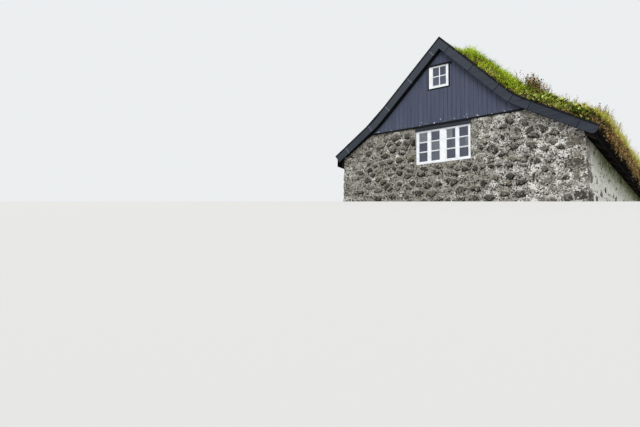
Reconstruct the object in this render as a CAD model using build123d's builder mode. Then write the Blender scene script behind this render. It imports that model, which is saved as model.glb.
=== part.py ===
from build123d import *
import os
from dataclasses import dataclass
from math import cos, floor, radians, tan

# Turf house: rubble stone walls, a steep roof that flares over the long sides and carries turf.
# Units are millimetres. X runs across the gable, Y from the front gable to the back one, Z is up.
# Sizes across the house are counted from the ridge, heights from the lowest ground at the walls.

# House
HOUSE_LENGTH = 11000
RIDGE_HEIGHT = 4950
VERGE_REACH = 170

# Stone walls
WALL_THICKNESS = 600
LEDGE_HEIGHT = 130
LEDGE_DEPTH = 120

# Roof build-up, counted square to the slope from the top edge of the bargeboards
BARGEBOARD_WIDTH = 240
BARGEBOARD_THICKNESS = 30
TIP_ROUNDING = 90
ROOF_BOARD_DEPTH = 90
ROOF_BOARD_THICKNESS = 25
RAFTER_HEIGHT = 150
RAFTER_WIDTH = 100
RAFTER_SPACING = 980
RAFTER_NOTCH = 30
BEND_RADIUS = 1500
RIDGE_BEAM_WIDTH = 60
RIDGE_BEAM_DROP = 60
PLATE_WIDTH = 160
PLATE_SETBACK = 200
EAVE_SETBACK = 20
EAVE_BOARD_THICKNESS = 40

# Turf
TURF_RISE = 260
TURF_OVERHANG = 100
TURF_DROP = 120
TURF_NOSE_RADIUS = 140
CREST_HALF = 160
VERGE_RISE = 20
VERGE_OVERHANG = 60
VERGE_CREST_HALF = 60
VERGE_SLOPE_RUN = 480

# Floors
FLOOR_THICKNESS = 30
FLOOR_JOIST_HEIGHT = 150
FLOOR_JOIST_WIDTH = 90
LOFT_FLOOR_THICKNESS = 25
LOFT_JOIST_HEIGHT = 170
LOFT_FLOOR_GAP = 15

# Gable boards, from the ridge down to the top of the stone wall
GABLE_BOARD_RISE = 2330
GABLE_BOARD_THICKNESS = 28
GABLE_BOARD_LAP = 20

# Wide window, four casements in two pairs
WINDOW_LEFT = -770
WINDOW_WIDTH = 1530
WINDOW_HEIGHT = 925
WINDOW_DEPTH = 90
WINDOW_PROUD = 12
WINDOW_SIDE = 35
WINDOW_TOP = 12
WINDOW_BOTTOM = 45
CENTRE_POST = 132
SIDE_POST = 44
SASH_DEPTH = 45
SASH_RAIL = 25
SASH_SETBACK = 14
GLASS_THICKNESS = 4
HOOD_HEIGHT = 160
HOOD_REACH = 20
HOOD_DEPTH = 45

# Loft window, hung from the ridge
LOFT_WINDOW_LEFT = -370
LOFT_WINDOW_WIDTH = 560
LOFT_WINDOW_DROP = 730
LOFT_WINDOW_HEIGHT = 616
LOFT_WINDOW_PROUD = 25
LOFT_STILE_LEFT = 108
LOFT_STILE_RIGHT = 67
LOFT_TOP_RAIL = 37
LOFT_BOTTOM_RAIL = 65
LOFT_TRIM_WIDTH = 36
LOFT_TRIM_THICKNESS = 15
LOFT_HOOD_REACH = 85
LOFT_HOOD_DEPTH = 60

# Doorway in the left wall
DOOR_PLACE = 900
DOORWAY_WIDTH = 900
DOOR_FRAME_WIDTH = 60
DOOR_FRAME_DEPTH = 110
DOOR_FRAME_SETBACK = 180
DOOR_THICKNESS = 45
DOOR_REBATE = 30
DOOR_LEDGE_HEIGHT = 130
DOOR_LEDGE_THICKNESS = 25
DOOR_LEDGE_INSET = 180
DOOR_SILL_REACH = 60
DOOR_SILL_HEIGHT = 120


@dataclass(frozen=True)
class Slope:
    """One side of the roof: a steep upper part, a bend and a flatter flare over the eave."""

    sign: int
    wall: float
    overhang: float
    bend_run: float
    upper_pitch: float
    lower_pitch: float

    @property
    def tip(self):
        """Distance from the ridge to the tip of the bargeboard."""
        return self.wall + self.overhang

    @property
    def eave(self):
        """Distance from the ridge to the outer face of the eave board."""
        return self.tip - EAVE_SETBACK

    @property
    def rafter_end(self):
        return self.eave - EAVE_BOARD_THICKNESS

    def ridge_z(self, depth):
        """Height at the ridge of the line that lies depth below the bargeboards' top edge."""
        return RIDGE_HEIGHT - depth / cos(radians(self.upper_pitch))

    def flare_z(self, depth, run):
        """Height of that line on the flare, at a distance run from the ridge."""
        bend_z = RIDGE_HEIGHT - self.bend_run * tan(radians(self.upper_pitch))
        slope = tan(radians(self.lower_pitch))
        return bend_z - depth / cos(radians(self.lower_pitch)) - (run - self.bend_run) * slope

    def flare_run(self, depth, height):
        """Distance from the ridge at which that line passes a height on the flare."""
        return (self.flare_z(depth, 0) - height) / tan(radians(self.lower_pitch))

    def steep_z(self, depth, run):
        return self.ridge_z(depth) - run * tan(radians(self.upper_pitch))

    def bend(self, depth):
        """The point where the steep and the flat stretch of that line meet."""
        drop = self.ridge_z(depth) - self.flare_z(depth, 0)
        run = drop / (tan(radians(self.upper_pitch)) - tan(radians(self.lower_pitch)))
        return (self.sign * run, self.ridge_z(depth) - run * tan(radians(self.upper_pitch)))

    def line(self, depth, start, end):
        """Start, bend and end of that line, between two distances from the ridge."""
        return [
            (self.sign * start, self.steep_z(depth, start)),
            self.bend(depth),
            (self.sign * end, self.flare_z(depth, end)),
        ]

    @property
    def wall_top(self):
        """The wall ends under the rafters, at its outer face."""
        return self.flare_z(RAFTER_BOTTOM, self.wall)

    @property
    def plate_run(self):
        """Distance from the ridge to the outer face of the wall plate."""
        return self.wall - PLATE_SETBACK

    @property
    def plate_top(self):
        return self.flare_z(RAFTER_BOTTOM, self.plate_run) + RAFTER_NOTCH


LEFT = Slope(sign=-1, wall=3120, overhang=160, bend_run=2040, upper_pitch=44.7, lower_pitch=35)
RIGHT = Slope(sign=1, wall=3490, overhang=300, bend_run=1950, upper_pitch=45.7, lower_pitch=30)

# Depths of the layers under the bargeboards' top edge
BOARD_BOTTOM = ROOF_BOARD_DEPTH + ROOF_BOARD_THICKNESS
RAFTER_BOTTOM = BOARD_BOTTOM + RAFTER_HEIGHT

# The origin is midway between the turf's two eaves, so the ridge lies beside it
RIDGE_X = (LEFT.tip - RIGHT.tip) / 2
FRONT_Y = -HOUSE_LENGTH / 2
VERGE_Y = FRONT_Y - VERGE_REACH
GABLE_STONE_HEIGHT = RIDGE_HEIGHT - GABLE_BOARD_RISE
FLOOR_TOP = LEDGE_HEIGHT + FLOOR_JOIST_HEIGHT + FLOOR_THICKNESS
LOFT_FLOOR_TOP = GABLE_STONE_HEIGHT + LOFT_FLOOR_THICKNESS


def section(y):
    """A plane across the house at y, drawn from the ridge and the ground, facing the front."""
    return Plane(origin=(RIDGE_X, y, 0), x_dir=(1, 0, 0), z_dir=(0, -1, 0))


def across(run):
    """A place across the house, counted from the ridge, in the model's own X."""
    return RIDGE_X + run


def plan(height):
    """A level plane at a height, with its origin under the ridge."""
    return Plane(origin=(RIDGE_X, 0, height))


def rafter_places():
    """Middle of each rafter along Y: the end ones lie flush with the faces of the gable walls."""
    run = HOUSE_LENGTH - RAFTER_WIDTH
    bays = max(2, floor(run / RAFTER_SPACING + 0.5))
    return [FRONT_Y + RAFTER_WIDTH / 2 + run * step / bays for step in range(bays + 1)]


def band(slope, top, bottom, start, end):
    """Draw the section of a layer that follows the slope between two depths."""
    upper = slope.line(top, start, end)
    lower = slope.line(bottom, start, end)
    FilletPolyline(*upper, radius=[BEND_RADIUS])
    FilletPolyline(*lower, radius=[BEND_RADIUS])
    Line(upper[0], lower[0])
    Line(upper[2], lower[2])


def under_roof(slope, depth):
    """Draw the whole section of the house below a line of the roof, on one side of the ridge."""
    ridge, bend, tip = slope.line(depth, 0, slope.tip)
    FilletPolyline(ridge, bend, tip, radius=[BEND_RADIUS])
    Polyline(tip, (tip[0], 0), (0, 0), ridge)


def save(part, name):
    part.label = name
    export_step(part, f"parts/{name}.step")


os.makedirs("parts", exist_ok=True)


# Stone walls

window_middle = WINDOW_LEFT + WINDOW_WIDTH / 2
window_head = GABLE_STONE_HEIGHT - HOOD_HEIGHT
window_centre = (window_middle, window_head - WINDOW_HEIGHT / 2)
wall_middle = (RIGHT.wall - LEFT.wall) / 2

with BuildPart() as front_wall:
    with BuildSketch(section(FRONT_Y)):
        for slope in (LEFT, RIGHT):
            with BuildLine():
                under_roof(slope, RAFTER_BOTTOM)
            make_face()
        with Locations((wall_middle, GABLE_STONE_HEIGHT / 2)):
            Rectangle(LEFT.wall + RIGHT.wall, GABLE_STONE_HEIGHT, mode=Mode.INTERSECT)
        with Locations(window_centre):
            Rectangle(WINDOW_WIDTH, WINDOW_HEIGHT, mode=Mode.SUBTRACT)
    extrude(amount=-WALL_THICKNESS)

side_wall_length = HOUSE_LENGTH - 2 * WALL_THICKNESS


def side_wall_outline(slope):
    """Side wall with an inner ledge at its foot that carries the floor joists."""
    face = slope.sign * slope.wall
    inside = slope.sign * (slope.wall - WALL_THICKNESS)
    ledge = slope.sign * (slope.wall - WALL_THICKNESS - LEDGE_DEPTH)
    Polyline(
        (face, 0),
        (face, slope.wall_top),
        (inside, slope.wall_top),
        (inside, LEDGE_HEIGHT),
        (ledge, LEDGE_HEIGHT),
        (ledge, 0),
        close=True,
    )


with BuildPart() as right_wall:
    with BuildSketch(section(0)):
        with BuildLine():
            side_wall_outline(RIGHT)
        make_face()
    extrude(amount=side_wall_length / 2, both=True)

with BuildPart() as left_wall:
    with BuildSketch(section(0)):
        with BuildLine():
            side_wall_outline(LEFT)
        make_face()
    extrude(amount=side_wall_length / 2, both=True)
    with Locations((across(-LEFT.wall + WALL_THICKNESS / 2), DOOR_PLACE, FLOOR_TOP)):
        Box(
            WALL_THICKNESS,
            DOORWAY_WIDTH,
            LEFT.wall_top - FLOOR_TOP,
            align=(Align.CENTER, Align.CENTER, Align.MIN),
            mode=Mode.SUBTRACT,
        )
    with Locations((across(-LEFT.wall), DOOR_PLACE, FLOOR_TOP)):
        Box(
            DOOR_FRAME_SETBACK,
            DOORWAY_WIDTH,
            DOOR_SILL_HEIGHT,
            align=(Align.MIN, Align.CENTER, Align.MAX),
            mode=Mode.SUBTRACT,
        )


# Roof timber

def wall_plate(slope):
    """Plate along the wall's top, whose outer edge is let into the rafters."""
    return slope.sign * (slope.plate_run - PLATE_WIDTH / 2), slope.plate_top - slope.wall_top


with BuildPart() as wall_plate_left:
    middle, height = wall_plate(LEFT)
    with Locations((across(middle), 0, LEFT.wall_top)):
        Box(PLATE_WIDTH, side_wall_length, height, align=(Align.CENTER, Align.CENTER, Align.MIN))

with BuildPart() as wall_plate_right:
    middle, height = wall_plate(RIGHT)
    with Locations((across(middle), 0, RIGHT.wall_top)):
        Box(PLATE_WIDTH, side_wall_length, height, align=(Align.CENTER, Align.CENTER, Align.MIN))


def rafter_section(slope):
    """Rafter from the ridge beam to the eave board, bent where the roof flares."""
    band(slope, BOARD_BOTTOM, RAFTER_BOTTOM, RIDGE_BEAM_WIDTH / 2, slope.rafter_end)


with BuildPart() as rafters_left:
    for place in rafter_places():
        with BuildSketch(section(place)):
            with BuildLine():
                rafter_section(LEFT)
            make_face()
        extrude(amount=RAFTER_WIDTH / 2, both=True)
    add(wall_plate_left.part, mode=Mode.SUBTRACT)

with BuildPart() as rafters_right:
    for place in rafter_places():
        with BuildSketch(section(place)):
            with BuildLine():
                rafter_section(RIGHT)
            make_face()
        extrude(amount=RAFTER_WIDTH / 2, both=True)
    add(wall_plate_right.part, mode=Mode.SUBTRACT)

with BuildPart() as ridge_beam:
    half = RIDGE_BEAM_WIDTH / 2
    foot = min(LEFT.steep_z(RAFTER_BOTTOM, half), RIGHT.steep_z(RAFTER_BOTTOM, half))
    with BuildSketch(section(0)):
        with BuildLine():
            Polyline(
                (-half, foot - RIDGE_BEAM_DROP),
                (half, foot - RIDGE_BEAM_DROP),
                (half, RIGHT.steep_z(BOARD_BOTTOM, half)),
                (0, min(LEFT.ridge_z(BOARD_BOTTOM), RIGHT.ridge_z(BOARD_BOTTOM))),
                (-half, LEFT.steep_z(BOARD_BOTTOM, half)),
                close=True,
            )
        make_face()
    extrude(amount=HOUSE_LENGTH / 2, both=True)


def roof_boards(slope):
    band(slope, ROOF_BOARD_DEPTH, BOARD_BOTTOM, 0, slope.rafter_end)


with BuildPart() as roof_boards_left:
    with BuildSketch(section(0)):
        with BuildLine():
            roof_boards(LEFT)
        make_face()
    extrude(amount=-VERGE_Y, both=True)

with BuildPart() as roof_boards_right:
    with BuildSketch(section(0)):
        with BuildLine():
            roof_boards(RIGHT)
        make_face()
    extrude(amount=-VERGE_Y, both=True)


def eave_board(slope):
    """Board across the ends of the rafters and the roof boards."""
    Polyline(
        (slope.sign * slope.rafter_end, slope.flare_z(ROOF_BOARD_DEPTH, slope.rafter_end)),
        (slope.sign * slope.eave, slope.flare_z(ROOF_BOARD_DEPTH, slope.eave)),
        (slope.sign * slope.eave, slope.flare_z(RAFTER_BOTTOM, slope.eave)),
        (slope.sign * slope.rafter_end, slope.flare_z(RAFTER_BOTTOM, slope.rafter_end)),
        close=True,
    )


with BuildPart() as eave_board_left:
    with BuildSketch(section(0)):
        with BuildLine():
            eave_board(LEFT)
        make_face()
    extrude(amount=-VERGE_Y, both=True)

with BuildPart() as eave_board_right:
    with BuildSketch(section(0)):
        with BuildLine():
            eave_board(RIGHT)
        make_face()
    extrude(amount=-VERGE_Y, both=True)


# Bargeboards

def square_end(slope):
    """Lower corner of the bargeboard's end, cut square to the flare."""
    angle = radians(slope.lower_pitch)
    run = slope.tip - BARGEBOARD_WIDTH * tan(angle) * cos(angle)
    height = slope.flare_z(0, slope.tip) - BARGEBOARD_WIDTH * cos(angle)
    return (slope.sign * run, height)


def bargeboard(slope, tip_radius):
    """Board along the verge, with a plumb joint at the ridge and a square-cut tip."""
    top = slope.line(0, 0, slope.tip)
    bottom = slope.line(BARGEBOARD_WIDTH, 0, slope.tip)
    corner = square_end(slope)
    FilletPolyline(
        top[0],
        top[1],
        top[2],
        corner,
        bottom[1],
        bottom[0],
        radius=[BEND_RADIUS, 0, tip_radius, BEND_RADIUS],
    )
    Line(bottom[0], top[0])


with BuildPart() as front_bargeboard_left:
    with BuildSketch(section(VERGE_Y)):
        with BuildLine():
            bargeboard(LEFT, 0)
        make_face()
    extrude(amount=BARGEBOARD_THICKNESS)

with BuildPart() as front_bargeboard_right:
    with BuildSketch(section(VERGE_Y)):
        with BuildLine():
            bargeboard(RIGHT, TIP_ROUNDING)
        make_face()
    extrude(amount=BARGEBOARD_THICKNESS)


# Turf

def turf_section(slope, rise, overhang, crest_half):
    """Turf from its rounded crest to a rounded nose that hangs over the eave board."""
    side = slope.sign
    crest = slope.steep_z(-rise, crest_half)
    edge = slope.tip + overhang
    top_of_board = slope.flare_z(ROOF_BOARD_DEPTH, slope.eave)
    foot = top_of_board - TURF_DROP
    FilletPolyline(
        (0, crest),
        (side * crest_half, crest),
        slope.bend(-rise),
        (side * edge, slope.flare_z(-rise, edge)),
        (side * edge, foot),
        radius=[2 * crest_half, BEND_RADIUS, TURF_NOSE_RADIUS],
    )
    Polyline((side * edge, foot), (side * slope.eave, foot), (side * slope.eave, top_of_board))
    FilletPolyline(*slope.line(ROOF_BOARD_DEPTH, 0, slope.eave), radius=[BEND_RADIUS])
    Line((0, slope.ridge_z(ROOF_BOARD_DEPTH)), (0, crest))


shoulder_y = VERGE_Y + VERGE_SLOPE_RUN

with BuildPart() as turf_left:
    with BuildSketch(section(VERGE_Y)):
        with BuildLine():
            turf_section(LEFT, VERGE_RISE, VERGE_OVERHANG, VERGE_CREST_HALF)
        make_face()
    with BuildSketch(section(shoulder_y)):
        with BuildLine():
            turf_section(LEFT, TURF_RISE, TURF_OVERHANG, CREST_HALF)
        make_face()
    loft()
    mirror(about=Plane.XZ)
    with BuildSketch(section(0)):
        with BuildLine():
            turf_section(LEFT, TURF_RISE, TURF_OVERHANG, CREST_HALF)
        make_face()
    extrude(amount=-shoulder_y, both=True)

with BuildPart() as turf_right:
    with BuildSketch(section(VERGE_Y)):
        with BuildLine():
            turf_section(RIGHT, VERGE_RISE, VERGE_OVERHANG, VERGE_CREST_HALF)
        make_face()
    with BuildSketch(section(shoulder_y)):
        with BuildLine():
            turf_section(RIGHT, TURF_RISE, TURF_OVERHANG, CREST_HALF)
        make_face()
    loft()
    mirror(about=Plane.XZ)
    with BuildSketch(section(0)):
        with BuildLine():
            turf_section(RIGHT, TURF_RISE, TURF_OVERHANG, CREST_HALF)
        make_face()
    extrude(amount=-shoulder_y, both=True)


# Gable boards

loft_middle = LOFT_WINDOW_LEFT + LOFT_WINDOW_WIDTH / 2
loft_head = RIDGE_HEIGHT - LOFT_WINDOW_DROP
loft_centre = (loft_middle, loft_head - LOFT_WINDOW_HEIGHT / 2)
board_foot = GABLE_STONE_HEIGHT - GABLE_BOARD_LAP

with BuildPart() as front_gable_boards:
    with BuildSketch(section(FRONT_Y)):
        for slope in (LEFT, RIGHT):
            with BuildLine():
                under_roof(slope, BOARD_BOTTOM)
            make_face()
        with Locations((wall_middle, board_foot)):
            Rectangle(
                LEFT.tip + RIGHT.tip,
                RIDGE_HEIGHT - board_foot,
                align=(Align.CENTER, Align.MIN),
                mode=Mode.INTERSECT,
            )
        with Locations(loft_centre):
            Rectangle(LOFT_WINDOW_WIDTH, LOFT_WINDOW_HEIGHT, mode=Mode.SUBTRACT)
    extrude(amount=GABLE_BOARD_THICKNESS)


# Wide window

light_height = WINDOW_HEIGHT - WINDOW_TOP - WINDOW_BOTTOM
light_width = (WINDOW_WIDTH - 2 * WINDOW_SIDE - CENTRE_POST - 2 * SIDE_POST) / 4
light_z = window_head - WINDOW_TOP - light_height / 2
inner_light = CENTRE_POST / 2 + light_width / 2
outer_light = inner_light + light_width + SIDE_POST
light_places = [
    (window_middle + run, light_z) for run in (-outer_light, -inner_light, inner_light, outer_light)
]

with BuildPart() as front_window_frame:
    with BuildSketch(section(FRONT_Y - WINDOW_PROUD)):
        with Locations(window_centre):
            Rectangle(WINDOW_WIDTH, WINDOW_HEIGHT)
        with Locations(*light_places):
            Rectangle(light_width, light_height, mode=Mode.SUBTRACT)
    extrude(amount=-WINDOW_DEPTH)

glass_width = light_width - 2 * SASH_RAIL
glass_height = light_height - 2 * SASH_RAIL
sash_face = FRONT_Y - WINDOW_PROUD + SASH_SETBACK

with BuildPart() as front_window_sashes:
    with BuildSketch(section(sash_face)):
        with Locations(*light_places):
            Rectangle(light_width, light_height)
            Rectangle(glass_width, glass_height, mode=Mode.SUBTRACT)
    extrude(amount=-SASH_DEPTH)

with BuildPart() as front_window_glass:
    with BuildSketch(section(sash_face + SASH_DEPTH / 2)):
        with Locations(*light_places):
            Rectangle(glass_width, glass_height)
    extrude(amount=-GLASS_THICKNESS)

with BuildPart() as front_window_hood:
    with BuildSketch(section(FRONT_Y)):
        with Locations((window_middle, window_head)):
            Rectangle(
                WINDOW_WIDTH + 2 * HOOD_REACH,
                HOOD_HEIGHT - GABLE_BOARD_LAP,
                align=(Align.CENTER, Align.MIN),
            )
    extrude(amount=HOOD_DEPTH)
    front_top = front_window_hood.edges().filter_by(Axis.X).group_by(Axis.Z)[-1].sort_by(Axis.Y)[0]
    chamfer(front_top, HOOD_DEPTH / 3)


# Loft window

loft_light_width = LOFT_WINDOW_WIDTH - LOFT_STILE_LEFT - LOFT_STILE_RIGHT
loft_light_height = LOFT_WINDOW_HEIGHT - LOFT_TOP_RAIL - LOFT_BOTTOM_RAIL
loft_light_corner = (LOFT_WINDOW_LEFT + LOFT_STILE_LEFT, loft_head - LOFT_TOP_RAIL)
board_face = FRONT_Y - GABLE_BOARD_THICKNESS

with BuildPart() as front_loft_window_frame:
    with BuildSketch(section(board_face - LOFT_WINDOW_PROUD)):
        with Locations(loft_centre):
            Rectangle(LOFT_WINDOW_WIDTH, LOFT_WINDOW_HEIGHT)
        with Locations(loft_light_corner):
            Rectangle(
                loft_light_width,
                loft_light_height,
                align=(Align.MIN, Align.MAX),
                mode=Mode.SUBTRACT,
            )
    extrude(amount=-(GABLE_BOARD_THICKNESS + LOFT_WINDOW_PROUD))

with BuildPart() as front_loft_window_glass:
    with BuildSketch(section(board_face)):
        with Locations(loft_light_corner):
            Rectangle(loft_light_width, loft_light_height, align=(Align.MIN, Align.MAX))
    extrude(amount=-GLASS_THICKNESS)

with BuildPart() as front_loft_window_trim:
    with BuildSketch(section(board_face)):
        with Locations(loft_centre):
            Rectangle(LOFT_WINDOW_WIDTH + 2 * LOFT_TRIM_WIDTH, LOFT_WINDOW_HEIGHT + 2 * LOFT_TRIM_WIDTH)
            Rectangle(LOFT_WINDOW_WIDTH, LOFT_WINDOW_HEIGHT, mode=Mode.SUBTRACT)
    extrude(amount=LOFT_TRIM_THICKNESS)
    with BuildSketch(section(board_face)):
        with Locations((loft_middle, loft_head)):
            Rectangle(
                LOFT_WINDOW_WIDTH + 2 * LOFT_HOOD_REACH,
                LOFT_TRIM_WIDTH,
                align=(Align.CENTER, Align.MIN),
            )
    extrude(amount=LOFT_HOOD_DEPTH)


# Floors

inner_left = -(LEFT.wall - WALL_THICKNESS)
inner_right = RIGHT.wall - WALL_THICKNESS
room_width = inner_right - inner_left
room_middle = (inner_left + inner_right) / 2
inside_places = rafter_places()[1:-1]

with BuildPart() as floor_joists:
    with BuildSketch(plan(LEDGE_HEIGHT)):
        for place in inside_places:
            with Locations((room_middle, place)):
                Rectangle(room_width, FLOOR_JOIST_WIDTH)
    extrude(amount=FLOOR_JOIST_HEIGHT)

with BuildPart() as ground_floor:
    with BuildSketch(plan(FLOOR_TOP - FLOOR_THICKNESS)):
        with Locations((room_middle, 0)):
            Rectangle(room_width, side_wall_length)
    extrude(amount=FLOOR_THICKNESS)

with BuildPart() as loft_joists:
    for place in inside_places:
        with BuildSketch(section(place)):
            with BuildLine():
                reach = GABLE_STONE_HEIGHT
                depth = BOARD_BOTTOM + RAFTER_HEIGHT / 2
                Polyline(
                    (-LEFT.flare_run(depth, reach), reach),
                    (RIGHT.flare_run(depth, reach), reach),
                    (RIGHT.flare_run(depth, reach - LOFT_JOIST_HEIGHT), reach - LOFT_JOIST_HEIGHT),
                    (-LEFT.flare_run(depth, reach - LOFT_JOIST_HEIGHT), reach - LOFT_JOIST_HEIGHT),
                    close=True,
                )
            make_face()
        extrude(amount=RAFTER_WIDTH / 2, both=True)
    add(rafters_left.part, mode=Mode.SUBTRACT)
    add(rafters_right.part, mode=Mode.SUBTRACT)

with BuildPart() as loft_floor:
    floor_left = -LEFT.flare_run(RAFTER_BOTTOM, LOFT_FLOOR_TOP) + LOFT_FLOOR_GAP
    floor_right = RIGHT.flare_run(RAFTER_BOTTOM, LOFT_FLOOR_TOP) - LOFT_FLOOR_GAP
    with BuildSketch(plan(GABLE_STONE_HEIGHT)):
        with Locations(((floor_left + floor_right) / 2, 0)):
            Rectangle(floor_right - floor_left, HOUSE_LENGTH)
    extrude(amount=LOFT_FLOOR_THICKNESS)


# Door

door_face = across(-LEFT.wall + DOOR_FRAME_SETBACK)
doorway_height = LEFT.wall_top - FLOOR_TOP
door_width = DOORWAY_WIDTH - 2 * DOOR_FRAME_WIDTH
door_height = doorway_height - DOOR_FRAME_WIDTH
door_plane = Plane(origin=(door_face, DOOR_PLACE, FLOOR_TOP), x_dir=(0, 1, 0), z_dir=(1, 0, 0))

with BuildPart() as door_frame:
    with BuildSketch(door_plane):
        Rectangle(DOORWAY_WIDTH, doorway_height, align=(Align.CENTER, Align.MIN))
        Rectangle(door_width, door_height, align=(Align.CENTER, Align.MIN), mode=Mode.SUBTRACT)
    extrude(amount=DOOR_FRAME_DEPTH)

with BuildPart() as door_leaf:
    with BuildSketch(door_plane.offset(DOOR_REBATE)):
        Rectangle(door_width, door_height, align=(Align.CENTER, Align.MIN))
    extrude(amount=DOOR_THICKNESS)
    with BuildSketch(door_plane.offset(DOOR_REBATE + DOOR_THICKNESS)):
        for ledge in (DOOR_LEDGE_INSET, door_height - DOOR_LEDGE_INSET):
            with Locations((0, ledge)):
                Rectangle(door_width - DOOR_LEDGE_HEIGHT, DOOR_LEDGE_HEIGHT)
    extrude(amount=DOOR_LEDGE_THICKNESS)

with BuildPart() as door_sill:
    with Locations((across(-LEFT.wall - DOOR_SILL_REACH), DOOR_PLACE, FLOOR_TOP)):
        Box(
            DOOR_FRAME_SETBACK + DOOR_SILL_REACH,
            DOORWAY_WIDTH,
            DOOR_SILL_HEIGHT,
            align=(Align.MIN, Align.CENTER, Align.MAX),
        )


# The back gable repeats the front one

front_pieces = {
    "wall": front_wall,
    "bargeboard_left": front_bargeboard_left,
    "bargeboard_right": front_bargeboard_right,
    "gable_boards": front_gable_boards,
    "window_frame": front_window_frame,
    "window_sashes": front_window_sashes,
    "window_glass": front_window_glass,
    "window_hood": front_window_hood,
    "loft_window_frame": front_loft_window_frame,
    "loft_window_glass": front_loft_window_glass,
    "loft_window_trim": front_loft_window_trim,
}

for name, piece in front_pieces.items():
    with BuildPart() as back_piece:
        mirror(piece.part, about=Plane.XZ)
    save(piece.part, f"front_{name}")
    save(back_piece.part, f"back_{name}")

whole_pieces = {
    "left_wall": left_wall,
    "right_wall": right_wall,
    "wall_plate_left": wall_plate_left,
    "wall_plate_right": wall_plate_right,
    "rafters_left": rafters_left,
    "rafters_right": rafters_right,
    "ridge_beam": ridge_beam,
    "roof_boards_left": roof_boards_left,
    "roof_boards_right": roof_boards_right,
    "eave_board_left": eave_board_left,
    "eave_board_right": eave_board_right,
    "turf_left": turf_left,
    "turf_right": turf_right,
    "floor_joists": floor_joists,
    "ground_floor": ground_floor,
    "loft_joists": loft_joists,
    "loft_floor": loft_floor,
    "door_frame": door_frame,
    "door_leaf": door_leaf,
    "door_sill": door_sill,
}

for name, piece in whole_pieces.items():
    save(piece.part, name)
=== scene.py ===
"""Looks of the turf house: stones, boards, windows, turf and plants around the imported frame.

Everything is in metres. X runs across the gable, Y from the front gable to the back one, Z is up.
"""

import logging
import math
from collections.abc import Callable, Iterable
from dataclasses import dataclass, field
from enum import Enum
from functools import partial
from random import Random

import bmesh
import bpy
import numpy as np
from bpy.types import GeometryNodeTree, Material, Node, NodeSocket, NodeTree, Object
from mathutils import Matrix, Vector, noise


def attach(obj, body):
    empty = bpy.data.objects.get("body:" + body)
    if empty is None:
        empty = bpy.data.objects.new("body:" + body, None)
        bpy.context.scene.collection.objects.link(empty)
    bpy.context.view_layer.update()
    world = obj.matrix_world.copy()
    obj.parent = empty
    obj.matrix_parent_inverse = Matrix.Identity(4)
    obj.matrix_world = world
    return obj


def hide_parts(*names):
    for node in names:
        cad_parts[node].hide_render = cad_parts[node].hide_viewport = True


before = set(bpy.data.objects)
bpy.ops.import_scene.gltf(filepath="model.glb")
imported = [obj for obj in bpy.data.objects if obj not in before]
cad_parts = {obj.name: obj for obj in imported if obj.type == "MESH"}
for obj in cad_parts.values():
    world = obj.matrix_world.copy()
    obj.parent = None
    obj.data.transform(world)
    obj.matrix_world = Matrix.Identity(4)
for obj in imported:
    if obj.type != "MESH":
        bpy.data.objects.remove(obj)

log = logging.getLogger("turf_house")

Pair = tuple[float, float]
Outline = list[Pair]

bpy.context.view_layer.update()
ROOT = "root"

# The house's outer faces and its ridge, from the frame
GABLE_Y = 5.5
VERGE_Y = 5.67
BARGE_Y = 5.70
RIDGE_X = -0.255
RIDGE_Z = 4.95

# Underside of the turf: its depth below the roof's top line and its distance from the eave
BED_DEPTH = 0.09
EAVE_INSET = 0.02


# Numbers, nodes and colours


def unit(value: float) -> float:
    """Keep a number between 0 and 1."""
    return min(max(value, 0), 1)


def heading(turn: float, lift: float = 0.0) -> Vector:
    """Vector of length 1 in plan in a direction, with a height."""
    return Vector((math.cos(turn), math.sin(turn), lift))


def linear(code: str) -> tuple[float, float, float, float]:
    """Turn an sRGB colour into the linear values that Blender's sockets take.

    Args:
        code: The colour as six hex digits, such as "8a7f6b".

    Returns:
        Red, green, blue and an alpha of one.
    """
    shares = [int(code[place:place + 2], 16) / 255 for place in (0, 2, 4)]
    return (*(s / 12.92 if s <= 0.04045 else ((s + 0.055) / 1.055) ** 2.4 for s in shares), 1.0)


def feed(node: Node, inputs: dict | tuple) -> None:
    """Give a node its input values and its links.

    Args:
        node: The node.
        inputs: A value, an output, or a node whose first output in use is linked, by the input's
            name or number, or one for each of the first inputs.
    """
    for name, value in inputs.items() if isinstance(inputs, dict) else enumerate(inputs):
        if isinstance(value, Node):
            value = next(output for output in value.outputs if output.enabled)
        if isinstance(value, NodeSocket):
            node.id_data.links.new(value, node.inputs[name])
        else:
            node.inputs[name].default_value = value


def add_node(tree: NodeTree, kind: str, inputs: dict | tuple = (), stops: Iterable = (),
             **settings: object) -> Node:
    """Add one node to a tree, with its settings, its input values and its links.

    Args:
        tree: The shader or geometry tree that gets the node.
        kind: Blender's name for the node's type, which may leave out "ShaderNode".
        inputs: Values and links, as feed takes them.
        stops: Positions and hex colours of a colour ramp.
        **settings: Properties of the node itself.

    Returns:
        The new node.
    """
    node = tree.nodes.new(kind if "Node" in kind else f"ShaderNode{kind}")
    for name, value in settings.items():
        setattr(node, name, value)
    for place, (position, code) in enumerate(stops):
        points = node.color_ramp.elements
        point = points[place] if place < len(points) else points.new(position)
        point.position = position
        point.color = linear(code)
    feed(node, inputs)
    return node


Adder = Callable[..., Node]
Value = Node | NodeSocket | float


# Finishes


class Grain(Enum):
    """Direction of the wood's fibres, as how much a pattern is squeezed on each axis."""

    ALONG_X = (0.06, 1.0, 1.0)
    ALONG_Y = (1.0, 0.06, 1.0)
    ALONG_Z = (1.0, 1.0, 0.06)


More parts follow.
